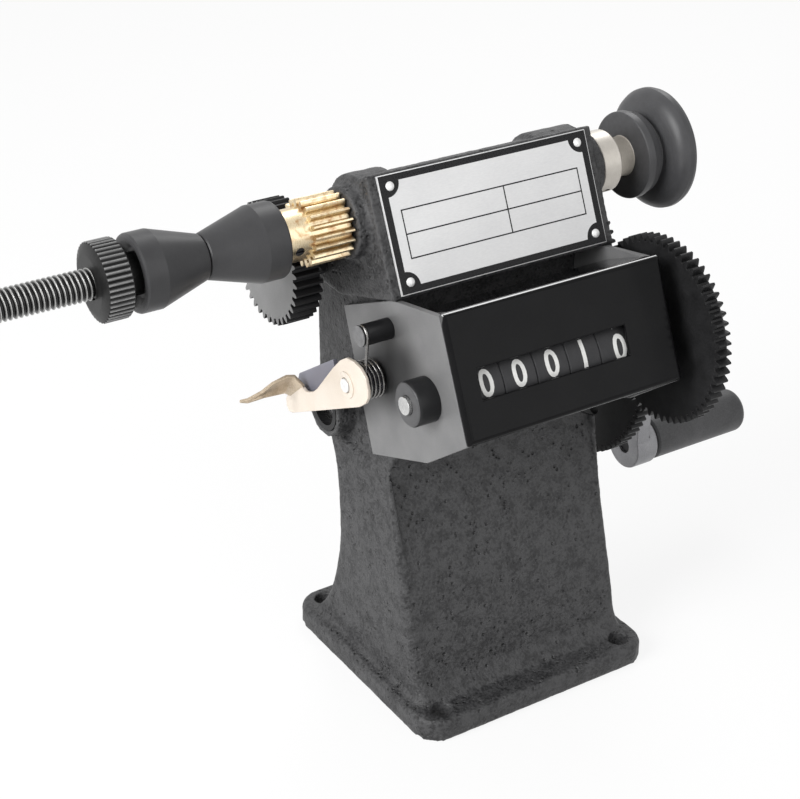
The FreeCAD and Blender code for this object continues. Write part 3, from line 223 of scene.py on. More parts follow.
# The left faces of some pieces have another colour than their sides, so it goes by where they end.
leftEnd = {node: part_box(node)[0][0] / mm for node in ("left_gear", "counter_shaft_boss", "spring_stud")}
finishes = {
    "casting": dict(light=(0.05, 0.05, 0.0515), dark=(0.016, 0.016, 0.017), rough=(0.28, 0.64), patch=4.0,
        grain=1.0, height=0.42, specular=0.36, pits=0.95, pitSize=2.1, contrast=(0.42, 0.57),
        stain=(0.06, 0.06, 0.0615), stainSize=2.2),
    "bronze": dict(light=(0.5, 0.34, 0.16), dark=(0.34, 0.22, 0.1), rough=(0.3, 0.5), metal=1.0,
        stretch=turnedMarks),
    "coverBlack": dict(light=(0.007, 0.007, 0.0075), dark=(0.004, 0.004, 0.0045), rough=(0.12, 0.22),
        patch=14.0, grain=0.5, height=0.002, specular=0.06, deck=(-41.0, 0.94, 0.02, 2.1)),
    # The side plates carry a painted shadow of the lever and spring stud, darkest near (-41, -14, 126).
    "plateGrey": dict(light=(0.205, 0.205, 0.205), dark=(0.15, 0.15, 0.153), rough=(0.34, 0.5), metal=0.3,
        patch=11.0, grain=0.4, height=0.006, specular=0.25, shade=((-41.0, -14.0, 126.0), 22.0, 0.85)),
    "bossDark": dict(light=(0.075, 0.075, 0.077), dark=(0.055, 0.055, 0.057), rough=(0.3, 0.42), patch=5.0,
        grain=0.4, height=0.006, specular=0.25,
        bands=((leftEnd["counter_shaft_boss"] + 0.25, (0.012, 0.012, 0.013)),)),
    "studBlack": dict(light=(0.16, 0.16, 0.162), dark=(0.08, 0.08, 0.082), rough=(0.26, 0.4), patch=2.0,
        grain=0.3, height=0.01, specular=0.3,
        bands=((leftEnd["spring_stud"] + 0.2, (0.009, 0.009, 0.01)),)),
    "brightSteel": dict(light=(0.7, 0.7, 0.69), dark=(0.5, 0.5, 0.5), rough=(0.18, 0.34), metal=1.0,
        patch=5.0, grain=0.35, height=0.006, stretch=turnedMarks),
    "satinNickel": dict(light=(0.6, 0.57, 0.52), dark=(0.44, 0.41, 0.37), rough=(0.34, 0.46), metal=0.7,
        patch=7.0, grain=0.4, height=0.004, specular=0.3, stretch=turnedMarks),
    "darkSteel": dict(light=(0.12, 0.12, 0.125), dark=(0.05, 0.05, 0.055), rough=(0.28, 0.45), metal=1.0,
        patch=4.0, grain=0.4, height=0.008, stretch=turnedMarks),
    # Inside radius 4.3 the thread's flanks and roots are painted near black as painted shade; past 4.72 the
    # crests keep a bright steel colour.
    "threadSteel": dict(light=(0.035, 0.035, 0.035), dark=(0.015, 0.015, 0.015), rough=(0.24, 0.4),
        metal=0.8, patch=4.0, grain=0.4, height=0.008, radial=("spindle", 4.3, 4.72, (0.5, 0.5, 0.49))),
    "springWire": dict(light=(0.32, 0.31, 0.3), dark=(0.1, 0.1, 0.1), rough=(0.2, 0.36), metal=1.0,
        patch=3.0, grain=0.3, height=0.004),
    # What lies past x -50.3, the lever's inner leaf towards the side plate, is painted dark blue-grey as
    # painted shade.
    "nickel": dict(light=(0.74, 0.67, 0.59), dark=(0.66, 0.58, 0.49), rough=(0.3, 0.42), metal=0.25,
        patch=12.0, grain=0.5, height=0.003, specular=0.35, bands=((-50.3, (0.2, 0.2, 0.24)),)),
    # The thumb leaf's finish is the lever's nickel painted darker and browner, as painted shade.
    "nickelInPaintedShade": dict(light=(0.62, 0.52, 0.4), dark=(0.36, 0.28, 0.19), rough=(0.3, 0.45), metal=0.4,
        patch=6.0, grain=0.5, height=0.004, specular=0.35),
    "gearBlack": dict(light=(0.024, 0.024, 0.025), dark=(0.01, 0.01, 0.0105), rough=(0.36, 0.55),
        metal=0.25, patch=6.0, grain=0.6, height=0.01, specular=0.25),
    "gearFaced": dict(light=(0.2, 0.2, 0.2), dark=(0.16, 0.16, 0.16), rough=(0.4, 0.55), metal=0.1,
        patch=9.0, grain=0.5, height=0.006, specular=0.25,
        bands=((leftEnd["left_gear"] + 0.05, (0.014, 0.014, 0.015)),)),
    "brass": dict(light=(0.83, 0.71, 0.5), dark=(0.6, 0.48, 0.3), rough=(0.2, 0.36), metal=1.0, patch=4.0,
        grain=0.4, height=0.008, stretch=turnedMarks, stain=(0.4, 0.2, 0.07), stainSize=3.2),
    "coneGrey": dict(light=(0.05, 0.05, 0.052), dark=(0.034, 0.034, 0.0355), rough=(0.32, 0.45), patch=10.0,
        grain=0.5, height=0.006, specular=0.25, stretch=turnedMarks),
    "nutBlack": dict(light=(0.05, 0.05, 0.052), dark=(0.03, 0.03, 0.031), rough=(0.32, 0.46), patch=6.0,
        grain=0.5, height=0.01, specular=0.25),
    "knurlBlack": dict(light=(0.012, 0.012, 0.012), dark=(0.006, 0.006, 0.006), rough=(0.3, 0.44),
        patch=6.0, grain=0.5, height=0.01, specular=0.2, radial=("spindle", 11.55, 11.95, (0.3, 0.3, 0.3))),
    "pulleyGrey": dict(light=(0.55, 0.51, 0.45), dark=(0.34, 0.31, 0.27), rough=(0.32, 0.46), patch=9.0,
        grain=0.5, height=0.008, specular=0.3, stretch=turnedMarks,
        radial=("spindle", 6.75, 6.85, (0.062, 0.062, 0.065))),
    "wheelGrey": dict(light=(0.045, 0.045, 0.047), dark=(0.032, 0.032, 0.034), rough=(0.42, 0.56),
        patch=5.0, grain=0.4, height=0.006, specular=0.2),
    "digitWhite": dict(light=(0.84, 0.84, 0.82), dark=(0.72, 0.72, 0.7), rough=(0.42, 0.55), patch=3.0,
        grain=0.3, height=0.004),
    "crankGrey": dict(light=(0.3, 0.3, 0.31), dark=(0.2, 0.2, 0.21), rough=(0.3, 0.46), metal=0.55,
        patch=8.0, grain=0.5, height=0.01),
    "handleGrey": dict(light=(0.09, 0.09, 0.093), dark=(0.055, 0.055, 0.057), rough=(0.34, 0.5), patch=9.0,
        grain=0.6, height=0.01, specular=0.25),
    "plateBorder": dict(light=(0.012, 0.012, 0.013), dark=(0.008, 0.008, 0.009), rough=(0.22, 0.34),
        patch=9.0, grain=0.4, height=0.002, specular=0.15),
    "plateSilver": dict(light=(0.66, 0.66, 0.66), dark=(0.58, 0.58, 0.585), rough=(0.3, 0.42), metal=0.3,
        patch=22.0, grain=0.35, height=0.004, stretch=(4.0, 1.0, 1.0)),
    "rivetWhite": dict(light=(0.85, 0.85, 0.84), dark=(0.66, 0.66, 0.66), rough=(0.24, 0.38), metal=0.3,
        patch=1.5, grain=0.3, height=0.01),
}
made = {name: finish(name, **settings) for name, settings in finishes.items()}
print("finishes made:", len(made))


# Modelling helpers

def deselect():
    bpy.ops.object.select_all(action="DESELECT")


def activate(piece):
    deselect()
    piece.select_set(True)
    bpy.context.view_layer.objects.active = piece


def edit(mode="VERT"):
    bpy.ops.object.mode_set(mode="EDIT")
    bpy.ops.mesh.select_mode(type=mode)
    bpy.ops.mesh.select_all(action="SELECT")


def leaveEdit():
    bpy.ops.object.mode_set(mode="OBJECT")


def modify(piece, kind, **settings):
    activate(piece)
    modifier = piece.modifiers.new(kind.title(), kind)
    for key, value in settings.items():
        setattr(modifier, key, value)
    bpy.ops.object.modifier_apply(modifier=modifier.name)


def settle(piece):
    activate(piece)
    bpy.ops.object.transform_apply(location=True, rotation=True, scale=True)


def smooth(piece, angle=35.0):
    activate(piece)
    bpy.ops.object.shade_smooth_by_angle(angle=math.radians(angle))


def soften(piece, width, segments=2, angle=30.0):
    modify(piece, "BEVEL", width=width * mm, segments=segments, limit_method="ANGLE",
           angle_limit=math.radians(angle), use_clamp_overlap=False, harden_normals=False)


def paint(piece, finishName):
    piece.data.materials.clear()
    piece.data.materials.append(made[finishName])


def keep(piece, name, body, finishName, slotName, *replaced):
    piece.name = name
    piece.data.name = name
    paint(piece, finishName)
    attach(piece, body)
    if replaced:
        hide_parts(*replaced)
    return piece


def joined(pieces):
    deselect()
    for piece in pieces:
        piece.select_set(True)
    bpy.context.view_layer.objects.active = pieces[0]
    bpy.ops.object.join()
    return pieces[0]


def lathe(profile, axis, steps=96):
    # Draws the (x, r) profile from one vertex, then spins it about the axis along X.
    deselect()
    start = (profile[0][0] * mm, axis[0] * mm, (axis[1] + profile[0][1]) * mm)
    bpy.ops.mesh.primitive_plane_add(size=mm, location=start)
    piece = bpy.context.active_object
    settle(piece)
    edit()
    bpy.ops.mesh.merge(type="CENTER")
    for before, after in zip(profile, profile[1:]):
        move = ((after[0] - before[0]) * mm, 0.0, (after[1] - before[1]) * mm)
        bpy.ops.mesh.extrude_vertices_move(TRANSFORM_OT_translate={"value": move})
    bpy.ops.mesh.select_all(action="SELECT")
    bpy.ops.mesh.spin(steps=steps, angle=math.tau, center=(0.0, axis[0] * mm, axis[1] * mm),
                      axis=(1.0, 0.0, 0.0))
    bpy.ops.mesh.select_all(action="SELECT")
    bpy.ops.mesh.remove_doubles(threshold=0.002 * mm)
    bpy.ops.mesh.normals_make_consistent(inside=False)
    leaveEdit()
    return piece


def copyNode(node, width, segments=2, angle=25.0):
    # A merged copy of a CAD node with its flat faces joined up and its edges broken.
    piece = nodes[node].copy()
    piece.data = nodes[node].data.copy()
    for key in list(piece.keys()):
        del piece[key]
    piece.parent = None
    bpy.context.scene.collection.objects.link(piece)
    activate(piece)
    bpy.ops.mesh.customdata_custom_splitnormals_clear()
    edit()
    bpy.ops.mesh.remove_doubles(threshold=0.001 * mm)
    bpy.ops.mesh.dissolve_limited(angle_limit=math.radians(1.0))
    leaveEdit()
    if width:
        soften(piece, width, segments, angle)
    smooth(piece)
    modify(piece, "WEIGHTED_NORMAL", keep_sharp=True)
    return piece


# Stand

casting = {"voxel": 0.85, "smoothing": 2, "roughness": 0.34, "grainSize": 2.6}


def makeCasting():
    piece = copyNode("frame_casting", 0.0)
    modify(piece, "REMESH", mode="VOXEL", voxel_size=casting["voxel"] * mm)
    modify(piece, "SMOOTH", factor=0.5, iterations=casting["smoothing"])
    texture = bpy.data.textures.new("sandGrain", "CLOUDS")
    texture.noise_scale = casting["grainSize"] * mm
    texture.noise_depth = 2
    modify(piece, "DISPLACE", texture=texture, strength=casting["roughness"] * mm, mid_level=0.5,
           texture_coords="LOCAL")
    activate(piece)
    bpy.ops.object.shade_smooth()
    return keep(piece, "standCasting", "frame", "casting", "black_casting", "frame_casting")


makeCasting()
print("stand made")


# Nameplate

plate = {"middle": (0.0, -10.0, 166.8), "tilt": 23.5, "width": 77.8, "height": 36.7, "thickness": 0.8,
         "fieldWidth": 72.6, "fieldHeight": 32.0, "notch": 4.6, "rivetX": 70.2, "rivetUp": 29.4,
         "edge": 0.12, "borderInset": 0.6, "borderThickness": 0.05, "fieldThickness": 0.1}


def layOnPlate(piece):
    x, y, z = plate["middle"]
    piece.rotation_euler = (math.radians(90.0 - plate["tilt"]), 0.0, 0.0)
    piece.location = (x * mm, y * mm, z * mm)
    settle(piece)


def flatBlock(width, height, thickness, middle=(0.0, 0.0), low=0.0):
    # A block lying on the plate's own plane, with its face up.
    deselect()
    spot = (middle[0] * mm, middle[1] * mm, (low + thickness / 2.0) * mm)
    bpy.ops.mesh.primitive_cube_add(size=1.0, location=spot)
    piece = bpy.context.active_object
    piece.scale = (width * mm, height * mm, thickness * mm)
    settle(piece)
    return piece


def makeNameplate():
    sheet = flatBlock(plate["width"], plate["height"], plate["thickness"], low=-plate["thickness"])
    soften(sheet, plate["edge"])
    layOnPlate(sheet)
    smooth(sheet)
    keep(sheet, "nameplateSheet", "frame", "plateSilver", "plate_silver", "nameplate")
    inset = plate["borderInset"]
    border = flatBlock(plate["width"] - inset, plate["height"] - inset, plate["borderThickness"])
    layOnPlate(border)
    keep(border, "nameplateBorder", "frame", "plateBorder", "plate_silver")
    field = flatBlock(plate["fieldWidth"], plate["fieldHeight"], plate["fieldThickness"])
    for sideX in (-1.0, 1.0):
        for sideY in (-1.0, 1.0):
            deselect()
            spot = (sideX * plate["fieldWidth"] / 2.0 * mm, sideY * plate["fieldHeight"] / 2.0 * mm, 0.0)
            bpy.ops.mesh.primitive_cylinder_add(vertices=48, radius=plate["notch"] * mm, depth=2.0 * mm,
                                                location=spot)
            cutter = bpy.context.active_object
            modify(field, "BOOLEAN", operation="DIFFERENCE", object=cutter, solver="EXACT")
            bpy.data.objects.remove(cutter)
    layOnPlate(field)
    smooth(field)
    keep(field, "nameplateField", "frame", "plateSilver", "plate_silver")


# The ruled table, left blank: an outer box, one upright and one cross line, from the plate's middle.
rules = {"left": -33.0, "right": 33.0, "low": -7.9, "high": 6.9, "upright": 4.4, "across": -0.5,
         "line": 0.42, "thickness": 0.03, "lift": 0.095}


def makeRules():
    left, right, low, high = rules["left"], rules["right"], rules["low"], rules["high"]
    middle, across, line = rules["upright"], rules["across"], rules["line"]
    bars = [(left, right, low, low), (left, right, across, across), (left, right, high, high),
            (left, left, low, high), (middle, middle, low, high), (right, right, low, high)]
    pieces = []
    for startX, endX, startY, endY in bars:
        width = endX - startX + line
        height = endY - startY + line
        centre = ((startX + endX) / 2.0, (startY + endY) / 2.0)
        bar = flatBlock(width, height, rules["thickness"], centre, rules["lift"])
        pieces.append(bar)
    table = joined(pieces)
    layOnPlate(table)
    keep(table, "nameplateRules", "frame", "plateBorder", "plate_silver")


def makeRivets():
    pieces = []
    dome = [(0.0, 1.42), (0.3, 1.42), (0.45, 1.25), (0.56, 0.8), (0.62, 0.35), (0.63, 0.0)]
    for sideX in (-1.0, 1.0):
        for sideY in (-1.0, 1.0):
            rivet = lathe([(0.0, 0.0)] + dome, (0.0, 0.0), 32)
            rivet.rotation_euler = (0.0, -math.pi / 2.0, 0.0)
            rivet.location = (sideX * plate["rivetX"] / 2.0 * mm, sideY * plate["rivetUp"] / 2.0 * mm, 0.0)
            settle(rivet)
            pieces.append(rivet)
    rivets = joined(pieces)
    layOnPlate(rivets)
    smooth(rivets, 50.0)
    keep(rivets, "nameplateRivets", "frame", "rivetWhite", "rivet_white", "nameplate_rivets")


makeNameplate()
makeRules()
makeRivets()
print("nameplate made")


# Spindle

thread = {"left": -168.0, "right": -70.0, "pitch": 1.5875, "crest": 4.74, "root": 3.95, "steps": 40}


def makeThread():
    pitch = thread["pitch"]
    turns = int((thread["right"] - thread["left"] - 1.0) / pitch)
    start = thread["left"] + 0.6
    shape = [(0.0, thread["root"]), (0.1, thread["root"]), (0.44, thread["crest"]), (0.56, thread["crest"]),
             (0.9, thread["root"])]
    deselect()
    y, z = axes["spindle"]
    bpy.ops.mesh.primitive_plane_add(size=mm, location=(start * mm, y * mm, (z + thread["root"]) * mm))
    piece = bpy.context.active_object
    settle(piece)
    edit()
    bpy.ops.mesh.merge(type="CENTER")
    profile = shape + [(1.0, thread["root"])]
    for before, after in zip(profile, profile[1:]):
        move = ((after[0] - before[0]) * pitch * mm, 0.0, (after[1] - before[1]) * mm)
        bpy.ops.mesh.extrude_vertices_move(TRANSFORM_OT_translate={"value": move})
    leaveEdit()
    piece.location = (0.0, -y * mm, -z * mm)
    settle(piece)
    modify(piece, "SCREW", axis="X", screw_offset=pitch * mm, iterations=turns, steps=thread["steps"],
           render_steps=thread["steps"], use_merge_vertices=True, merge_threshold=0.002 * mm)
    piece.location = (0.0, y * mm, z * mm)
    settle(piece)
    edit()
    bpy.ops.mesh.remove_doubles(threshold=0.004 * mm)
    bpy.ops.mesh.normals_make_consistent(inside=False)
    leaveEdit()
    return piece


def makeSpindle():
    helix = makeThread()
    left, right = thread["left"], thread["right"]
    core = [(left, 0.0), (left, 3.3), (left + 0.7, 4.0), (right, 4.0), (right, 5.0), (81.4, 5.0),
            (82.0, 4.4), (82.0, 0.0)]
    rod = lathe(core, axes["spindle"], 64)
    rod = joined([rod, helix])
    smooth(rod)
    keep(rod, "threadedSpindle", "spindle", "threadSteel", "bright_steel", "spindle_shaft")


def makeCones():
    inner = [(-93.1, 4.76), (-93.1, 6.7), (-92.7, 7.1), (-76.8, 11.8), (-76.5, 11.9), (-69.8, 11.9),
             (-69.2, 11.6), (-69.0, 11.1), (-69.0, 8.6), (-71.5, 8.55), (-71.5, 4.76), (-93.1, 4.76)]
    piece = lathe(inner, axes["spindle"], 128)
    smooth(piece, 12.0)
    keep(piece, "innerCone", "spindle", "coneGrey", "cone_grey", "inner_cone")
    outer = [(-93.4, 4.81), (-93.4, 6.7), (-93.8, 7.1), (-108.8, 11.8), (-109.1, 11.9), (-115.2, 11.9),
             (-115.8, 11.6), (-116.0, 11.1), (-116.0, 9.8), (-115.8, 9.5), (-113.9, 7.5), (-113.8, 7.2),
             (-113.8, 4.81), (-93.4, 4.81)]
    piece = lathe(outer, axes["spindle"], 128)
    smooth(piece, 12.0)
    keep(piece, "outerCone", "outer_cone", "coneGrey", "cone_grey", "outer_cone")


def makePulley():
    profile = [(55.3, 5.0), (55.3, 6.3), (55.6, 6.6), (62.5, 6.6), (62.8, 6.9), (62.8, 14.1), (63.0, 14.5),
               (63.3, 14.6), (65.4, 14.6), (65.6, 14.3), (68.4, 13.7), (69.1, 13.1), (69.6, 11.9),
               (70.1, 11.4), (70.7, 11.7), (71.2, 13.0), (71.7, 15.2), (72.2, 17.0), (73.0, 18.5),
               (74.1, 19.6), (75.4, 20.3), (76.8, 20.4), (78.0, 20.0), (78.8, 19.1), (79.0, 18.2),
               (79.0, 8.2), (78.6, 7.6), (78.6, 5.0), (55.3, 5.0)]
    piece = lathe(profile, axes["spindle"], 128)
    smooth(piece, 20.0)
    keep(piece, "steppedPulley", "spindle", "pulleyGrey", "pulley_grey", "pulley")


makeSpindle()
makeCones()
makePulley()
print("spindle made")


# Counter

# The last wheel stands between two figures, as in the photograph: lag turns each wheel's figures,
# and shift moves them.
digits = {"height": 8.7, "radius": 16.6, "proud": 0.12, "window": 149.0, "shown": (0, 0, 0, 1, 0),
          "left": -35.3, "pitch": 12.0, "bold": 0.22, "narrow": 0.84,
          "size": 12.0, "depth": 0.35, "strips": 8, "gap": 0.06, "bore": 3.05, "keyedBore": 3.0,
          "lag": (0.0, 0.0, 0.0, 0.0, 4.8), "shift": (0.0, 0.0, 0.0, 0.0, 1.6)}


def makeDigit(figure, middleX, turn):
    deselect()
    bpy.ops.object.text_add()
    piece = bpy.context.active_object
    piece.data.body = str(figure)
    piece.data.size = digits["size"] * mm
    piece.data.resolution_u = 4
    piece.data.offset = digits["bold"] * mm
    piece.data.align_x = "CENTER"
    activate(piece)
    bpy.ops.object.convert(target="MESH")
    piece = bpy.context.active_object
    corners = [vertex.co for vertex in piece.data.vertices]
    low = Vector([min(corner[axis] for corner in corners) for axis in range(3)])
    high = Vector([max(corner[axis] for corner in corners) for axis in range(3)])
    narrow = digits["narrow"]
    tall = digits["height"] * mm / (high.y - low.y)
    piece.location = (-(low.x + high.x) / 2.0 * narrow, -(low.y + high.y) / 2.0 * tall, 0.0)
    piece.scale = (narrow, tall, 1.0)
    settle(piece)
    edit()
    for strip in range(1, digits["strips"]):
        level = (strip / digits["strips"] - 0.5) * digits["height"] * mm
        bpy.ops.mesh.select_all(action="SELECT")
        bpy.ops.mesh.bisect(plane_co=(0.0, level, 0.0), plane_no=(0.0, 1.0, 0.0))
    bpy.ops.mesh.select_all(action="SELECT")
    bpy.ops.mesh.remove_doubles(threshold=0.01 * mm)
    bpy.ops.mesh.extrude_region_move(TRANSFORM_OT_translate={"value": (0.0, 0.0, digits["depth"] * mm)})
    bpy.ops.mesh.select_all(action="SELECT")
    bpy.ops.mesh.normals_make_consistent(inside=False)
    leaveEdit()
    radius = digits["radius"] * mm
    y, z = axes["counter"]
    for vertex in piece.data.vertices:
        angle = turn - vertex.co.y / radius
        reach = radius + vertex.co.z - (digits["depth"] - digits["proud"]) * mm
        across = middleX * mm + vertex.co.x
        vertex.co = (across, y * mm + reach * math.cos(angle), z * mm + reach * math.sin(angle))
    return piece


def makeWheel(index):
    left = digits["left"] + index * digits["pitch"] + digits["gap"]
    right = left + digits["pitch"] - 2.0 * digits["gap"]
    bore = digits["keyedBore"] if index == 4 else digits["bore"]
    radius = digits["radius"]
    web = (left + right) / 2.0
    profile = [(left, bore), (left, bore + 2.4), (left + 0.2, bore + 2.5), (web - 0.8, bore + 2.5),
               (web - 0.8, radius - 1.8), (left + 0.2, radius - 1.8), (left, radius - 1.6),
               (left, radius - 0.35), (left + 0.35, radius), (right - 0.35, radius), (right, radius - 0.35),
               (right, radius - 1.6), (right - 0.2, radius - 1.8), (web + 0.8, radius - 1.8),
               (web + 0.8, bore + 2.5), (right - 0.2, bore + 2.5), (right, bore + 2.4), (right, bore),
               (left, bore)]
    wheel = lathe(profile, axes["counter"], 96)
    smooth(wheel)
    body = "counter" if index == 4 else "wheel_" + str(index + 1)
    node = "digit_wheel_" + str(index + 1)
    keep(wheel, "wheel" + str(index + 1), body, "wheelGrey", "wheel_grey", node)
    pieces = []
    for figure in range(10):
        steps = figure - digits["shown"][index]
        turn = math.radians(digits["window"] + digits["lag"][index] + 36.0 * steps)
        pieces.append(makeDigit(figure, web + digits["shift"][index], turn))
    figures = joined(pieces)
    smooth(figures, 50.0)
    keep(figures, "digits" + str(index + 1), body, "digitWhite", "wheel_grey")


for index in range(5):
    makeWheel(index)
print("counter wheels made")


# Pieces kept from the solids, with their edges broken

softened = {
    "counter_cover": ("counterCover", "coverBlack", "cover_black", 0.45),
    "side_plate_left": ("sidePlateLeft", "plateGrey", "side_plate_grey", 0.25),
    "side_plate_right": ("sidePlateRight", "plateGrey", "side_plate_grey", 0.25),
    "counter_shaft_boss": ("shaftBoss", "bossDark", "side_plate_grey", 0.2),
    "spring_stud": ("springStud", "studBlack", "dark_steel", 0.15),
    "knurled_nut": ("knurledNut", "knurlBlack", "nut_black", 0.06),
    "brass_pinion": ("brassPinion", "brass", "pinion_brass", 0.1),
    "spindle_collar": ("spindleCollar", "satinNickel", "bright_steel", 0.15),
    "left_gear": ("leftGear", "gearFaced", "gear_black", 0.1),
    "idler_gear": ("idlerGear", "gearBlack", "gear_black", 0.1),
    "counter_gear": ("counterGear", "gearBlack", "gear_black", 0.1),
    "crank_gear": ("crankGear", "gearBlack", "gear_black", 0.1),
    "counter_pinion": ("counterPinion", "brightSteel", "bright_steel", 0.08),
    "crank_pinion": ("crankPinion", "brightSteel", "bright_steel", 0.08),
    "crank_arm": ("crankArm", "crankGrey", "crank_grey", 0.6),
    "crank_cap_screw": ("crankCapScrew", "brightSteel", "bright_steel", 0.4),
    "counter_shaft": ("counterShaft", "brightSteel", "bright_steel", 0.4),
    "handle_grip": ("handleGrip", "handleGrey", "handle_grey", 0.2),
}
for node, (name, finishName, slotName, width) in softened.items():
    piece = copyNode(node, width)
    keep(piece, name, nodes[node]["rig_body"], finishName, slotName, node)
print("softened pieces made:", len(softened))

carriedOver = {
    "bronze_bush": "bronze", "dark_steel": "darkSteel", "bright_steel": "brightSteel",
    "spring_wire": "springWire", "plate_silver": "plateSilver", "rivet_white": "rivetWhite",
    "cover_black": "coverBlack", "side_plate_grey": "plateGrey", "lever_nickel": "nickel",
    "gear_black": "gearBlack", "pinion_brass": "brass",
    "cone_grey": "coneGrey", "nut_black": "nutBlack", "pulley_grey": "pulleyGrey", "wheel_grey": "wheelGrey",
    "crank_grey": "crankGrey", "handle_grey": "handleGrey", "black_casting": "casting",
}
for entry in frame["record"]["subparts"]:
    dark = entry["node"] in ("crank_bushes", "handle_pin")
    paint(nodes[entry["node"]], "gearBlack" if dark else carriedOver[entry["material_slot"]])


# Reset lever

lever = {
    "outer": -52.0, "cutInside": 0.002, "thickness": 1.1, "ring": (2.55, 4.3), "rivet": 2.25,
    # Stations of the thumb leaf as (x, upper y, upper z, lower y, lower z).
    "leaf": [(-51.4, 22.6, 105.4, 31.2, 98.2), (-53.5, 25.1, 108.6, 32.3, 99.3),
             (-56.0, 25.8, 108.9, 30.8, 100.2), (-61.0, 26.2, 107.5, 28.4, 101.7),
             (-64.7, 26.7, 105.2, 26.9, 102.6), (-69.5, 27.6, 103.3, 27.7, 102.0),
             (-71.9, 28.7, 103.0, 28.7, 102.3)],
}


def alongLeaf(share):
    stations = lever["leaf"]
    place = min(share * (len(stations) - 1), len(stations) - 1.0001)
    index = int(place)
    part = place - index
    return [first + (second - first) * part for first, second in zip(stations[index], stations[index + 1])]


def makeLever():
    plateCopy = copyNode("reset_lever", 0.0)
    edit()
    cut = ((lever["outer"] + lever["cutInside"]) * mm, 0.0, 0.0)
    bpy.ops.mesh.bisect(plane_co=cut, plane_no=(1.0, 0.0, 0.0), use_fill=True, clear_inner=True)
    bpy.ops.mesh.select_all(action="SELECT")
    bpy.ops.mesh.normals_make_consistent(inside=False)
    leaveEdit()
    soften(plateCopy, 0.25)
    smooth(plateCopy)
    modify(plateCopy, "WEIGHTED_NORMAL", keep_sharp=True)
    body = nodes["reset_lever"]["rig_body"]
    keep(plateCopy, "resetLever", body, "nickel", "lever_nickel", "reset_lever")

    deselect()
    bpy.ops.mesh.primitive_grid_add(x_subdivisions=24, y_subdivisions=6, size=1.0)
    leaf = bpy.context.active_object
    for vertex in leaf.data.vertices:
        x, highY, highZ, lowY, lowZ = alongLeaf(vertex.co.x + 0.5)
        up = vertex.co.y + 0.5
        belly = 0.9 * (1.0 - (2.0 * up - 1.0) ** 2) * (vertex.co.x + 0.5) * (0.5 - vertex.co.x) * 4.0
        vertex.co = (x * mm, (lowY + (highY - lowY) * up + belly) * mm, (lowZ + (highZ - lowZ) * up) * mm)
    modify(leaf, "SOLIDIFY", thickness=lever["thickness"] * mm, offset=0.0)
    soften(leaf, 0.2)
    smooth(leaf)
    # The thumb leaf takes the lever's nickel painted darker as painted shade.
    keep(leaf, "leverLeaf", body, "nickelInPaintedShade", "lever_nickel")

    ringIn, ringOut = lever["ring"]
    face = lever["outer"]
    profile = [(face + 0.3, ringIn), (face - 0.45, ringIn), (face - 0.6, ringIn + 0.15),
               (face - 0.6, ringOut - 0.5), (face - 0.4, ringOut), (face + 0.3, ringOut + 0.1),
               (face + 0.3, ringIn)]
    ring = lathe(profile, axes["lever"], 64)
    smooth(ring)
    keep(ring, "leverRing", body, "nickel", "lever_nickel")
    rivet = lever["rivet"]
    profile = [(-38.5, 0.0), (-38.5, rivet), (face - 0.9, rivet), (face - 1.1, rivet - 0.2),
               (face - 1.1, 1.2), (face - 1.0, 1.1), (face - 1.0, 0.0)]
    pin = lathe(profile, axes["lever"], 48)
    smooth(pin)
    keep(pin, "leverPin", nodes["lever_pin"]["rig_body"], "rivetWhite", "bright_steel", "lever_pin")


makeLever()
print("lever made")


# Floor, light and camera

studio = {"floorSize": 4.0, "floorWhite": 0.9, "skyLight": 0.42, "floorGlow": 0.85}


def seenWhite(shader):
    path = shader.tree.nodes.new("ShaderNodeLightPath")
    camera = Value(shader, path.outputs["Is Camera Ray"])
    glossy = Value(shader, path.outputs["Is Glossy Ray"])
    clear = Value(shader, path.outputs["Is Transmission Ray"])
    return camera.maths("MAXIMUM", camera.maths("MAXIMUM", camera, glossy), clear)


def makeFloor():
    deselect()
    bpy.ops.mesh.primitive_plane_add(size=studio["floorSize"])
    floor = bpy.context.active_object
    floor.name = "floor"
    shader = Shader("floorWhite")
    spot = shader.place()
    white = studio["floorWhite"]
    tone = shader.ramp(shader.noise(spot, 60.0, 3.0), (0.3, white - 0.01), (0.7, white))
    shader.setSurface(Base_Color=tone, Roughness=0.9)
    glow = shader.tree.nodes.new("ShaderNodeEmission")
    blend = shader.tree.nodes.new("ShaderNodeMixShader")
    output = shader.tree.nodes["Material Output"]
    shader.feed(blend.inputs[0], seenWhite(shader) * studio["floorGlow"])
    shader.tree.links.new(shader.surface.outputs[0], blend.inputs[1])
    shader.tree.links.new(glow.outputs[0], blend.inputs[2])
    shader.tree.links.new(blend.outputs[0], output.inputs["Surface"])
    floor.data.materials.append(shader.material)


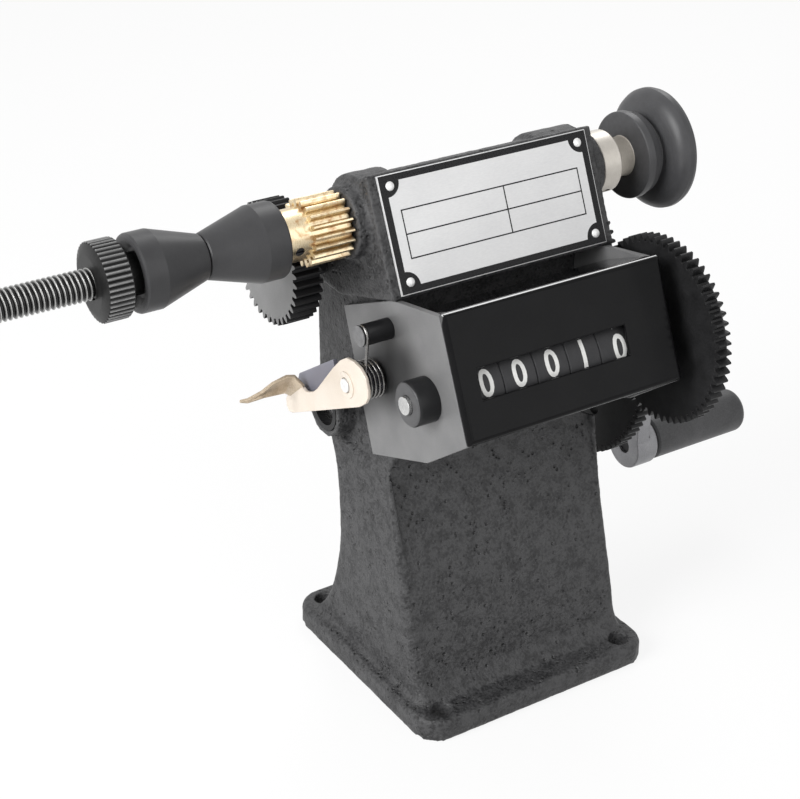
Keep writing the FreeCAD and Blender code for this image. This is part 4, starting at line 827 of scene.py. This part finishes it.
def makeSky():
    world = bpy.data.worlds.new("sky")
    bpy.context.scene.world = world
    world.use_nodes = True
    tree = world.node_tree
    background = tree.nodes["Background"]
    path = tree.nodes.new("ShaderNodeLightPath")
    most = path.outputs["Is Camera Ray"]
    for ray in ("Is Glossy Ray", "Is Transmission Ray"):
        pick = tree.nodes.new("ShaderNodeMath")
        pick.operation = "MAXIMUM"
        tree.links.new(most, pick.inputs[0])
        tree.links.new(path.outputs[ray], pick.inputs[1])
        most = pick.outputs[0]
    level = tree.nodes.new("ShaderNodeMapRange")
    level.inputs["To Min"].default_value = studio["skyLight"]
    level.inputs["To Max"].default_value = 1.0
    tree.links.new(most, level.inputs["Value"])
    tree.links.new(level.outputs["Result"], background.inputs["Strength"])
    background.inputs["Color"].default_value = (1.0, 1.0, 1.0, 1.0)


lamps = {
    "key": dict(spot=(-0.95, -0.12, 0.6), size=0.6, power=13.0),
    "fill": dict(spot=(0.25, -0.95, 0.6), size=0.9, power=2.6),
    "rim": dict(spot=(0.5, 0.55, 0.9), size=0.5, power=3.5),
}


def makeLamps():
    for name, lamp in lamps.items():
        light = bpy.data.lights.new(name, "AREA")
        light.size = lamp["size"]
        light.energy = lamp["power"]
        holder = bpy.data.objects.new(name, light)
        holder.location = lamp["spot"]
        aim = Vector((0.0, 0.0, 0.1)) - Vector(lamp["spot"])
        holder.rotation_euler = aim.to_track_quat("-Z", "Y").to_euler()
        bpy.context.scene.collection.objects.link(holder)


camera = {"spot": (-0.3033, -0.4326, 0.3795), "aim": (0.0, 0.04536, 0.0753), "lens": 81.19}


def makeCamera():
    lens = bpy.data.cameras.new("camera")
    lens.lens = camera["lens"]
    lens.sensor_width = 36.0
    lens.clip_start = 0.01
    holder = bpy.data.objects.new("camera", lens)
    holder.location = camera["spot"]
    aim = Vector(camera["aim"]) - Vector(camera["spot"])
    holder.rotation_euler = aim.to_track_quat("-Z", "Y").to_euler()
    bpy.context.scene.collection.objects.link(holder)
    bpy.context.scene.camera = holder


makeFloor()
makeSky()
makeLamps()
makeCamera()
bpy.context.scene.view_settings.view_transform = "Standard"
print("studio made")
